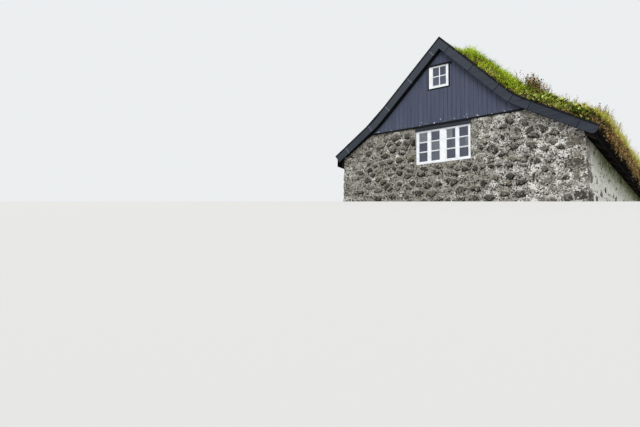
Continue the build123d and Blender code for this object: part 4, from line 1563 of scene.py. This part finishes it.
@dataclass
class TurfBed:
    """Sods over the whole roof: a thick lumpy bed, thin at the verges, rounded over the eaves."""

    rise: float = 0.235
    overhang: float = 0.10
    verge_rise: float = 0.012
    verge_overhangs: Pair = (-0.12, 0.05)
    drop: float = 0.09
    shoulders: Pair = (0.46, 0.42)
    thin_reach: Pair = (0.42, 0.75)
    crest: Pair = (0.06, 0.10)
    wear_reach: tuple[float, float, float] = (0.0, 1.1, 2.4)
    wear: tuple[float, float, float] = (0.0, 0.24, 1.0)
    nose: float = 0.14
    nose_points: int = 9
    shade_points: tuple[int, int] = (7, 3)
    cut_width: float = 0.15
    lump: float = 0.045
    lump_fade: float = 1.2
    calm_nose: Pair = (0.93, 0.3)
    calm_crest: float = 0.06
    across: int = 56
    along: int = 132

    def top_line(self, roof: RoofSide, share: float, thin: float) -> Outline:
        """Top of the sods on one side, from the ridge to the foot of the nose.

        Args:
            roof: The side of the roof.
            share: How full the sods are, 0 at the verge and 1 behind the shoulder.
            thin: How full they are at the ridge itself, where they are worn away at the verges.

        Returns:
            Distances from the ridge and heights.
        """
        least = self.verge_overhangs[roof is RIGHT]
        edge = roof.tip + least + (self.overhang - least) * share
        crest = self.crest[0] + self.crest[1] * thin
        line = []
        full = self.verge_rise + (self.rise - self.verge_rise) * share
        for run in np.linspace(0, edge - self.nose, self.across - self.nose_points):
            rise = np.interp(run, self.thin_reach, (self.rise * thin, full))
            line.append((run, roof.level(-rise, max(run, crest))))
        start = Vector(line[-1])
        foot = roof.level(BED_DEPTH, roof.tip - EAVE_INSET) - self.drop
        control = Vector((edge, roof.level(-rise, edge)))
        finish = Vector((edge, foot + 0.4 * (control.y - foot)))
        for t in np.linspace(0, 1, 6)[1:]:
            line.append(tuple(start.lerp(control, t).lerp(control.lerp(finish, t), t)))
        line += [(edge, foot + 0.2 * (control.y - foot)), (edge - 0.01, foot + 0.01),
                 (edge - 0.03, foot), (roof.tip - EAVE_INSET, foot)]
        return line

    def build(self) -> tuple[Object, dict[int, np.ndarray]]:
        """Make the bed.

        Returns:
            The bed, and for each side of the roof its top points by place along and across.
        """
        inner = VERGE_Y - max(self.shoulders)
        stations = np.concatenate([
            np.linspace(-VERGE_Y, -inner, 12), np.linspace(-inner, inner, self.along - 22)[1:-1],
            np.linspace(inner, VERGE_Y, 12)])
        tops = {-1: [], 1: []}
        rows = []
        for y in stations:
            behind = VERGE_Y - abs(y)
            thin = np.interp(behind, self.wear_reach, self.wear)
            left, right = (1 - (1 - min(behind / shoulder, 1.0)) ** 1.5
                           for shoulder in self.shoulders)
            shares = {-1: left, 1: right}
            ring = []
            for roof in (LEFT, RIGHT):
                line = self.top_line(roof, shares[roof.side], thin)
                top = [self.lumpy(Vector((roof.x(run), y, z)), roof, shares[roof.side],
                                  place / len(line)) for place, (run, z) in enumerate(line)]
                tops[roof.side].append([tuple(point) for point in top[:-1]])
                under = [Vector((x, y, z)) for x, z in
                         roof.line(BED_DEPTH, np.linspace(roof.tip - EAVE_INSET, 0, 14))]
                ring.append((top, under))
            (left_top, left_under), (right_top, right_under) = ring
            rows.append(left_top[::-1] + right_top[1:] + right_under + left_under[::-1][1:])
        count = len(rows[0])
        # The shaded mark says where the sod gets painted shade: the lower nose and the whole
        # underside
        shaded, cut = [], []
        half = len(left_top)
        start, steps = self.shade_points
        for y in stations:
            near_foot = [unit((place - half + start) / steps) for place in range(half)]
            shaded += near_foot[::-1] + near_foot[1:] + [1.0] * (count - 2 * half + 1)
            cut += [max(0.0, 1 - (VERGE_Y - abs(y)) / self.cut_width)] * count
        draft = Draft(("shaded", "cut"))
        total = len(rows) * count
        caps = [range(count), range(total - 1, total - count - 1, -1)]
        draft.add([p for row in rows for p in row], belts(len(rows), count) + caps,
                  shaded=shaded, cut=cut)
        return draft.solid("turf_bed", smooth=True), {
            side: np.array(grid) for side, grid in tops.items()}

    def lumpy(self, point: Vector, roof: RoofSide, share: float, place: float) -> Vector:
        """Move a point of the top in or out, as sods settle and swell."""
        swell = noise.fractal(point * 1.7, 0.7, 2.0, 4) + 0.5 * noise.noise(point * 6.0)
        amount = self.lump * swell * share * min((VERGE_Y - abs(point.y)) / self.lump_fade, 1.0)
        if place > self.calm_nose[0]:
            amount *= self.calm_nose[1]
        if place < self.calm_crest:
            return point + Vector((0, 0, min(amount, 0.0)))
        angle = roof.slope(abs(point.x - RIDGE_X))
        return point + Vector((roof.side * math.sin(angle), 0, math.cos(angle))) * amount


PLANT_REACH = 3.855
CREST_HEIGHTS = (4.3, 5.05)
PLANT_SLOTS = ("First", "Second", "Third")


class Plant(Enum):
    """Kinds of plants on the roof."""

    GRASS = "grass"
    TALL_GRASS = "tall_grass"
    HERB = "herb"
    HANGING = "hanging"
    SORREL = "sorrel"


@dataclass
class PlantShop:
    """Small meshes of single plants, from which the roof is planted."""

    seed: int = 8
    shapes: int = 3
    blades: int = 9
    leaves: int = 18
    made: dict[Plant, list[Object]] = field(default_factory=dict)

    def blade(self, draft: Draft, rng: Random, length: float, width: float, bend: float,
              spread: float, most_lean: float = 0.5) -> None:
        """Add one blade of grass: a curved strip that ends in a point."""
        out = heading(rng.uniform(0, math.tau))
        side = Vector((-out.y, out.x, 0))
        root = out * rng.uniform(0, spread) + side * rng.uniform(-spread, spread)
        lean = rng.uniform(0.1, most_lean)
        points = []
        for share in (0.0, 0.5, 0.8):
            spot = root + out * (lean * share + bend * share ** 2) * length + Vector(
                (0, 0, (share - 0.35 * bend * share ** 2) * length))
            half = side * width * (1 - share) ** 0.6 / 2
            points += [spot - half, spot + half]
        points.append(root + out * (lean + bend) * length
                      + Vector((0, 0, (1 - 0.45 * bend) * length)))
        own = rng.uniform(-0.2, 0.2)
        draft.add(points, ((0, 1, 3, 2), (2, 3, 5, 4), (4, 5, 6)),
                  leaf=[share + own for share in (0.0, 0.0, 0.55, 0.55, 0.8, 0.8, 1.0)])

    def leaf(self, draft: Draft, rng: Random, spot: Vector, along: Vector, size: float,
             width: float) -> None:
        """Add one leaf, folded a little along its middle."""
        side = along.cross(Vector((0.1, 0.2, 1))).normalized() * width / 2
        up = side.cross(along).normalized() * size * 0.18
        points = (spot, spot + along * size * 0.5 + side + up, spot + along * size,
                  spot + along * size * 0.5 - side + up)
        own = rng.random() ** 1.6 * 1.25
        draft.add(points, ((0, 1, 2), (0, 2, 3)), leaf=[own * 0.6, own, own, own])

    def tuft(self, rng: Random, lengths: Pair, widths: Pair, bends: Pair, spread: float,
             most_lean: float = 0.5) -> Draft:
        """Blades of grass from one root.

        Args:
            rng: The source of their chance numbers.
            lengths: The shortest and the longest.
            widths: The narrowest and the widest.
            bends: The straightest and the most bent, as shares of the length.
            spread: How far from the middle they stand.
            most_lean: How far they lean out, as a share of the length.

        Returns:
            The tuft.
        """
        draft = Draft(("leaf",))
        for _ in range(self.blades):
            self.blade(draft, rng, rng.uniform(*lengths), rng.uniform(*widths),
                       rng.uniform(*bends), spread, most_lean)
        return draft

    def grass(self, rng: Random) -> Draft:
        """A tuft of grass."""
        return self.tuft(rng, (0.08, 0.20), (0.008, 0.014), (0.2, 0.9), 0.035)

    def tall_grass(self, rng: Random) -> Draft:
        """A tuft of long, nearly upright grass."""
        return self.tuft(rng, (0.18, 0.34), (0.009, 0.015), (0.05, 0.4), 0.04, 0.25)

    def herb(self, rng: Random) -> Draft:
        """A low leafy plant."""
        draft = Draft(("leaf",))
        for _ in range(self.leaves):
            along = heading(rng.uniform(0, math.tau), rng.uniform(0.2, 1.1)).normalized()
            spot = along * rng.uniform(0.0, 0.09)
            self.leaf(draft, rng, spot, along, rng.uniform(0.05, 0.10), rng.uniform(0.03, 0.055))
        return draft

    def hanging(self, rng: Random) -> Draft:
        """A sprig with leaves on both sides of a long stem."""
        draft = Draft(("leaf",))
        for _ in range(3):
            lean = heading(rng.uniform(0, math.tau)) * rng.uniform(0.05, 0.4)
            length = rng.uniform(0.16, 0.32)
            for step in range(6):
                share = (step + rng.random()) / 6
                spot = (Vector((0, 0, 1)) + lean * share) * share * length
                along = heading(rng.uniform(0, math.tau), 0.5).normalized()
                self.leaf(draft, rng, spot, along, rng.uniform(0.045, 0.08),
                          rng.uniform(0.018, 0.036))
        return draft

    def sorrel(self, rng: Random) -> Draft:
        """Thin upright stems with seed heads."""
        draft = Draft(("leaf",))
        for _ in range(4):
            lean = heading(rng.uniform(0, math.tau)) * rng.uniform(0.05, 0.3)
            length = rng.uniform(0.16, 0.30)
            head = (Vector((0, 0, 1)) + lean) * length
            side = Vector((-lean.y, lean.x, 0)).normalized() * 0.003
            draft.add((-side, side, head), ((0, 1, 2),))
            for step in range(4):
                along = heading(rng.uniform(0, math.tau), 0.9).normalized()
                self.leaf(draft, rng, head * (0.6 + 0.1 * step), along, 0.03, 0.014)
        return draft

    def kinds(self, plant: Plant) -> list[Object]:
        """The shapes of a plant, made at its first use."""
        if plant not in self.made:
            rng = Random(f"{self.seed}{plant.value}")
            make = getattr(self, plant.value)
            self.made[plant] = [make(rng).mesh(f"{plant.value}_{number}")
                                for number in range(self.shapes)]
        return self.made[plant]

    def close(self) -> None:
        """Remove the single plants once the roof is planted."""
        for plants in self.made.values():
            for plant in plants:
                bpy.data.objects.remove(plant)


@dataclass
class Planting:
    """Plants of one kind on one stretch of the roof."""

    name: str
    plant: Plant
    finish: Finish
    side: int
    density: float
    seed: int
    along: Pair = (-6.0, 6.0)
    across: Pair = (0.0, 1.0)
    smallest: float = 0.8
    largest: float = 1.3
    lift: float = 0.8
    stand: float = 0.5
    crest: float = 0.5
    fades: Pair = (0.0, 0.0)
    ragged: float = 4.0

    @staticmethod
    def tree(sizes: dict[str, object]) -> GeometryNodeTree:
        """Geometry tree that scatters a plant's three shapes and bends back what is too wide."""
        ready = bpy.data.node_groups.get("planting")
        if ready:
            return ready
        tree, add, given, result = new_tree("planting", sizes)
        value = given.outputs
        spots = add("GeometryNodeDistributePointsOnFaces", {
            "Mesh": value["Geometry"], "Density": value["Density"], "Seed": value["Seed"]})
        stood = add("VectorMath", {0: spots.outputs["Normal"], "Scale": value["Stand"]},
                    operation="SCALE")
        up = add("CombineXYZ", {2: value["Lift"]})
        aimed = add("VectorMath", (stood, up), operation="ADD")
        sway = add("FunctionNodeRandomValue", {
            0: (-0.35, -0.35, -0.2), 1: (0.35, 0.35, 0.2), "Seed": value["Seed"]},
            data_type="FLOAT_VECTOR")
        swayed = add("VectorMath", (aimed, sway), operation="ADD")
        spin = add("FunctionNodeRandomValue", {2: 0.0, 3: math.tau, "Seed": value["Seed"]},
                   data_type="FLOAT")
        turned = add("CombineXYZ", {2: spin})
        aligned = add("FunctionNodeAlignRotationToVector", {"Vector": swayed}, axis="Z")
        around = add("FunctionNodeEulerToRotation", (turned,))
        rotation = add("FunctionNodeRotateRotation", (aligned, around), rotation_space="LOCAL")
        size = add("FunctionNodeRandomValue", {
            2: value["Smallest"], 3: value["Largest"], "Seed": value["Seed"]},
            data_type="FLOAT")
        at = add("SeparateXYZ", (add("GeometryNodeInputPosition"),))
        shrink = add("MapRange", (at.outputs[2], *CREST_HEIGHTS, 1.0, value["Crest"]))
        grown = add("Math", (size, shrink), operation="MULTIPLY")
        shelf = add("GeometryNodeGeometryToInstance")
        for label in reversed(PLANT_SLOTS):
            one = add("GeometryNodeObjectInfo", {"Object": value[label]})
            feed(shelf, (one.outputs["Geometry"],))
        planted = add("GeometryNodeInstanceOnPoints", {
            "Points": spots, "Instance": shelf, "Pick Instance": True, "Rotation": rotation,
            "Scale": grown})
        real = make_real(add, planted, 3)
        inside = add("Clamp", (at, -PLANT_REACH, PLANT_REACH))
        bent = add("CombineXYZ", (inside, at.outputs[1], at.outputs[2]))
        kept = add("GeometryNodeSetPosition", {"Geometry": real, "Position": bent})
        painted = add("GeometryNodeSetMaterial", {"Geometry": kept, "Material": value["Finish"]})
        feed(result, (painted,))
        return tree

    def build(self, grids: dict[int, np.ndarray], shop: PlantShop) -> None:
        """Plant this stretch.

        Args:
            grids: The top points of the turf by side, from the turf bed.
            shop: The single plants.
        """
        grid = grids[self.side]
        rows, columns = grid.shape[:2]
        rng = Random(self.seed)
        draft = Draft()
        faces = []
        for r in range(rows - 1):
            y = (grid[r, 0, 1] + grid[r + 1, 0, 1]) / 2
            kept = min((y - self.along[0]) / (self.fades[0] + 0.001),
                       (self.along[1] - y) / (self.fades[1] + 0.001), 1.0)
            wave = self.ragged * noise.noise(Vector((y * 1.3, self.seed, 0)))
            first, last = (int(round(share * (columns - 1) + wave * (0.1 < share < 0.8)))
                           for share in self.across)
            for c in range(first, last):
                if kept < 1 and rng.random() > kept:
                    continue
                quad = (r * columns + c, (r + 1) * columns + c,
                        (r + 1) * columns + c + 1, r * columns + c + 1)
                faces.append(quad if self.side < 0 else quad[::-1])
        draft.add(grid.reshape(-1, 3), faces)
        carrier = draft.mesh(self.name)
        sizes = {"Density": self.density, "Seed": self.seed, "Smallest": self.smallest,
                 "Largest": self.largest, "Lift": self.lift, "Stand": self.stand,
                 "Crest": self.crest, **dict(zip(PLANT_SLOTS, shop.kinds(self.plant))),
                 "Finish": material_of(self.finish)}
        piece = run_tree(carrier, self.tree(sizes), sizes)
        settle(piece, self.finish, "turf")


# Door


@dataclass
class Door:
    """Planks, strap hinges and ring of the low door in the left wall."""

    face: float = -3.165
    middle: float = 0.9
    foot: float = 0.312
    head: float = 1.79
    width: float = 0.776
    planks: int = 7
    gap: float = 0.004
    thickness: float = 0.010
    strap_length: float = 0.5
    strap_overlap: float = 0.02
    strap_half: float = 0.022
    strap_thickness: float = 0.006
    strap_from_end: float = 0.25
    ring_side: float = 0.26
    ring_height: float = 1.02
    ring_out: float = 0.012

    def build(self) -> None:
        """Make the planks and the ironwork."""
        rng = Random(9)
        boards, iron = Draft(("tone",)), Draft()
        pitch = self.width / self.planks
        start = self.middle - self.width / 2
        out = self.face - self.thickness
        for number in range(self.planks):
            y = start + pitch * number
            boards.box((self.face, y + self.gap / 2, self.foot),
                       (out, y + pitch - self.gap / 2, self.head), tone=rng.random())
        for z in (self.foot + self.strap_from_end, self.head - self.strap_from_end):
            iron.box((out, start - self.strap_overlap, z - self.strap_half),
                     (out - self.strap_thickness, start + self.strap_length, z + self.strap_half))
        self.ring(iron, Vector((out - self.ring_out, self.middle + self.ring_side,
                                self.ring_height)))
        settle(ease_edges(boards.mesh("door_planks"), SAWN_EDGE), DOOR_TAR, "door_wood")
        settle(iron.solid("door_ironwork"), IRON, "door_wood")

    @staticmethod
    def ring(draft: Draft, middle: Vector, radius: float = 0.045, thick: float = 0.006) -> None:
        """Add the door's pull ring, standing square to the door's face."""
        turns, sides = 20, 6
        points = []
        for turn in np.linspace(0, math.tau, turns, endpoint=False):
            out = Vector((0, math.sin(turn), math.cos(turn)))
            for angle in np.linspace(0, math.tau, sides, endpoint=False):
                points.append(middle + out * (radius + thick * math.cos(angle))
                              + Vector((thick * math.sin(angle), 0, 0)))
        draft.add(points, belts(turns, sides, looped=True))


# Frame's own nodes


def dress_frame() -> None:
    """Give every node of the frame that stays in view its real material."""
    owners = (
        (MORTAR, "front_wall", "back_wall", "left_wall"), (MORTAR_WASHED, "right_wall"),
        (DOOR_TAR, "door_frame", "door_leaf"), (FLAG, "door_sill"),
        (SHADE_DARK_PINE_X, "rafters_left", "rafters_right"),
        (SHADE_DARK_PINE_Y, "ridge_beam", "wall_plate_left", "wall_plate_right", "roof_boards_left",
         "roof_boards_right"),
        (EAVE_TAR_AND_SHADE, "eave_board_left", "eave_board_right"),
        (PINE_X, "floor_joists", "loft_joists"), (FLOOR_PINE, "ground_floor", "loft_floor"))
    words = (("gable_boards", BACKING_TAR), ("window_frame", WHITE), ("window_sashes", WHITE),
             ("window_glass", GLASS), ("window_hood", HOOD_TAR), ("loft_window_frame", WHITE),
             ("loft_window_glass", GLASS_LOFT), ("loft_window_trim", TRIM_TAR_AND_SHADE))
    finishes = {name: finish for finish, *names in owners for name in names}
    finishes.update({f"{end.label}_{word}": finish for end in End for word, finish in words})
    for name, finish in finishes.items():
        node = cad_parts[name]
        node.data.materials.clear()
        node.data.materials.append(material_of(finish))
        log.info("%s: %s", name, finish.name)


# Stage


@dataclass
class Stage:
    """Pale floor that falls away in front of the house, soft lights, backdrop and camera."""

    crest: tuple[Pair, Pair] = ((-1.23, -8.76), (4.305, -5.88))
    fall: float = 16.0
    rounding: float = 0.8
    reach: float = 60.0
    fall_length: float = 22.0
    place: tuple[float, float, float] = (5.871, -19.543, -2.25)
    right: tuple[float, float, float] = (0.81376, 0.58074, 0.02449)
    up: tuple[float, float, float] = (0.06915, -0.13863, 0.98789)
    ahead: tuple[float, float, float] = (-0.5771, 0.8022, 0.1529)
    lens: float = 32.65
    sun: tuple[float, float, float] = (-0.42, 0.76, -0.58)
    sun_energy: float = 1.85
    sun_angle: float = 45.0
    sky: str = "f3f6fa"
    sky_strength: float = 0.75
    backdrop: str = "eceef0"

    def floor(self) -> None:
        """Make the floor: level round the house, then sloping down toward the camera."""
        (x0, y0), (x1, y1) = self.crest
        along = Vector((x1 - x0, y1 - y0, 0)).normalized()
        out = Vector((along.y, -along.x, 0))
        middle = Vector((x0, y0, 0))
        profile = [(-self.reach, 0.0), (-4.0, 0.0), (0.0, 0.0)]
        z, gone = 0.0, 0.0
        for step in range(1, 7):
            angle = math.radians(self.fall * step / 6)
            gone += self.rounding / 6
            z -= math.tan(angle) * self.rounding / 6
            profile.append((gone, z))
        z -= math.tan(math.radians(self.fall)) * self.fall_length
        profile += [(gone + self.fall_length, z), (self.reach, z)]
        draft = Draft()
        points = [middle + along * side + out * run + Vector((0, 0, z))
                  for run, z in profile for side in (-self.reach, self.reach)]
        faces = [(2 * k, 2 * k + 1, 2 * k + 3, 2 * k + 2) for k in range(len(profile) - 1)]
        draft.add(points, faces)
        floor = draft.mesh("studio_ground", smooth=True)
        floor.data.materials.append(material_of(FLOOR))

    def lights(self) -> None:
        """Add a broad soft key light and an even sky."""
        key = bpy.data.lights.new("soft_key", "SUN")
        key.energy, key.angle = self.sun_energy, math.radians(self.sun_angle)
        lamp = bpy.data.objects.new("soft_key", key)
        lamp.rotation_euler = Vector(self.sun).to_track_quat("-Z", "Y").to_euler()
        bpy.context.scene.collection.objects.link(lamp)
        world = bpy.data.worlds.new("studio_sky")
        bpy.context.scene.world = world
        world.use_nodes = True
        tree = world.node_tree
        tree.nodes.clear()
        add = partial(add_node, tree)
        ray = add("LightPath").outputs
        seen = add("Math", (ray["Is Camera Ray"], ray["Is Glossy Ray"]), operation="MAXIMUM")
        seen = add("Math", (seen, ray["Is Transmission Ray"]), operation="MAXIMUM")
        sky = add("Background", {"Color": linear(self.sky), "Strength": self.sky_strength})
        backdrop = add("Background", {"Color": linear(self.backdrop), "Strength": 1.0})
        add("OutputWorld", (add("MixShader", (seen, sky, backdrop)),))

    def camera(self) -> None:
        """Place the camera as the photograph was taken."""
        lens = bpy.data.cameras.new("camera")
        lens.lens, lens.sensor_width, lens.clip_end = self.lens, 36.0, 500.0
        camera = bpy.data.objects.new("camera", lens)
        axes = Matrix((self.right, self.up, [-value for value in self.ahead])).transposed()
        camera.matrix_world = Matrix.Translation(self.place) @ axes.to_4x4()
        bpy.context.scene.collection.objects.link(camera)
        bpy.context.scene.camera = camera

    def build(self) -> None:
        """Make the whole stage."""
        self.camera()
        self.floor()
        self.lights()
        bpy.context.scene.view_settings.view_transform = "Standard"


PLANTINGS = (
    Planting("grass_crest_right", Plant.GRASS, LAWN, 1, 200, 1, (-5.66, -2.6), (0.11, 0.48), 0.8,
             1.25, crest=0.9, fades=(0.0, 2.4)),
    Planting("grass_front_right", Plant.GRASS, GRASS, 1, 90, 12, (-5.62, -3.4), (0.35, 0.84), 0.9,
             1.4, fades=(0.0, 1.4)),
    Planting("grass_ridge_right", Plant.GRASS, LAWN, 1, 150, 13, (-4.9, 6.0), (0.0, 0.12), 0.8,
             1.1),
    Planting("grass_ridge_front", Plant.GRASS, GRASS, 1, 190, 29, (-5.5, -4.7), (0.0, 0.12), 0.5,
             0.7),
    Planting("grass_ridge_left", Plant.GRASS, GRASS, -1, 100, 30, (-5.5, 6.0), (0.0, 0.16), 0.7,
             1.0),
    Planting("grass_right", Plant.GRASS, GRASS, 1, 44, 2, (-4.7, 6.0), (0.1, 0.78), 1.0, 1.5,
             fades=(1.4, 0.0)),
    Planting("lawn_right", Plant.GRASS, LAWN, 1, 16, 25, (-4.2, 6.0), (0.1, 0.6), 0.8, 1.2,
             crest=0.8, fades=(1.4, 0.0)),
    Planting("grass_front_left", Plant.GRASS, GRASS, -1, 60, 3, (-4.8, -4.3), (0.05, 0.9), 0.4,
             0.8),
    Planting("grass_verge_left", Plant.GRASS, GRASS, -1, 85, 28, (-5.52, -4.75), (0.0, 0.9), 0.32,
             0.5),
    Planting("grass_left", Plant.GRASS, GRASS, -1, 46, 4, (-4.3, 6.0), (0.0, 0.82), 1.0, 1.5),
    Planting("tall_grass_right", Plant.TALL_GRASS, SEEDING, 1, 40, 21, (-5.3, 6.0), (0.50, 0.78),
             0.8, 1.1, 1.0, 0.15),
    Planting("eave_grass_right", Plant.TALL_GRASS, SEEDING, 1, 220, 16, (-4.95, 6.0), (0.80, 0.89),
             0.9, 1.4, 2.2, 0.3),
    Planting("eave_grass_front_right", Plant.TALL_GRASS, SEEDING, 1, 200, 23, (-5.5, -4.9),
             (0.77, 0.87), 0.7, 1.0, 1.0, 0.2),
    Planting("nose_grass_right", Plant.TALL_GRASS, SEEDING, 1, 220, 22, (-5.5, 6.0), (0.87, 0.93),
             0.6, 0.9, 1.6, 0.5),
    Planting("eave_grass_left", Plant.GRASS, SEEDING, -1, 120, 17, (-4.7, 6.0), (0.80, 0.90), 0.6,
             0.9, 0.5, 0.5),
    Planting("herbs_right", Plant.HERB, HERB, 1, 76, 5, (-5.66, 6.0), (0.45, 0.84), 0.8, 1.5),
    Planting("herbs_left", Plant.HERB, HERB, -1, 30, 6, (-4.7, 6.0), (0.25, 0.84), 0.9, 1.4),
    Planting("russet_front_right", Plant.HERB, RUSSET, 1, 36, 14, (-5.64, 6.0), (0.60, 0.90), 0.6,
             1.1),
    Planting("hanging_right", Plant.HANGING, RUSSET, 1, 260, 7, (-5.5, 6.0), (0.88, 0.965), 0.5,
             0.75, -0.6, 0.45),
    Planting("hanging_left", Plant.HANGING, RUSSET, -1, 110, 8, (-4.7, 6.0), (0.88, 0.965), 0.5,
             0.75, -0.6, 0.45),
    Planting("hanging_roots_right", Plant.HANGING, STRAW, 1, 26, 18, (-5.3, 6.0), (0.93, 1.0), 0.4,
             0.8, -1.0, 0.2),
    Planting("sorrel_clump_upper", Plant.SORREL, RUSSET, 1, 150, 19, (-5.3, -4.4), (0.47, 0.58),
             1.3, 2.0, 1.0, 0.3, 0.3),
    Planting("sorrel_clump_lower", Plant.SORREL, RUSSET, 1, 80, 20, (-4.9, -2.6), (0.80, 0.89),
             1.2, 1.8, 1.4, 0.2, 0.3, (0.4, 1.0)),
    Planting("sorrel_right", Plant.SORREL, RUSSET, 1, 12, 9, (-4.6, 6.0), (0.25, 0.86), 0.9, 1.4,
             1.0, 0.3, 0.3),
    Planting("dry_stems_right", Plant.SORREL, STRAW, 1, 22, 24, (-4.9, 6.0), (0.62, 0.88), 1.1,
             1.6, 1.4, 0.25, 0.3),
    Planting("straw_right", Plant.GRASS, STRAW, 1, 14, 10, (-5.62, 6.0), (0.12, 0.86), 0.6, 1.0),
    Planting("straw_verge", Plant.GRASS, STRAW, 1, 300, 15, (-5.68, -5.45), (0.12, 0.95), 0.4,
             0.75),
    Planting("russet_verge", Plant.HERB, RUSSET, 1, 60, 27, (-5.66, -5.40), (0.12, 0.62), 0.3,
             0.5),
    Planting("tall_grass_crest", Plant.TALL_GRASS, LAWN, 1, 24, 26, (-5.45, -4.8), (0.13, 0.20),
             0.8, 1.1, 1.0, 0.2, 1.0),
    Planting("straw_left", Plant.GRASS, STRAW, -1, 10, 11, (-4.7, 6.0), (0.05, 0.86), 0.7, 1.1),
)


def main() -> None:
    """Build the house's looks in order."""
    Stage().build()
    dress_frame()
    Masonry().build()
    for end in End:
        GableBoarding(end).build()
        Verge(end).build()
        WideWindow(end).build()
        LoftWindow(end).build()
    Door().build()
    bed, grids = TurfBed().build()
    settle(bed, SOD, "turf", "turf_left", "turf_right")
    shop = PlantShop()
    for planting in PLANTINGS:
        planting.build(grids, shop)
    shop.close()


if __name__ == "__main__":
    logging.basicConfig(level=logging.INFO, format="%(message)s")
    main()
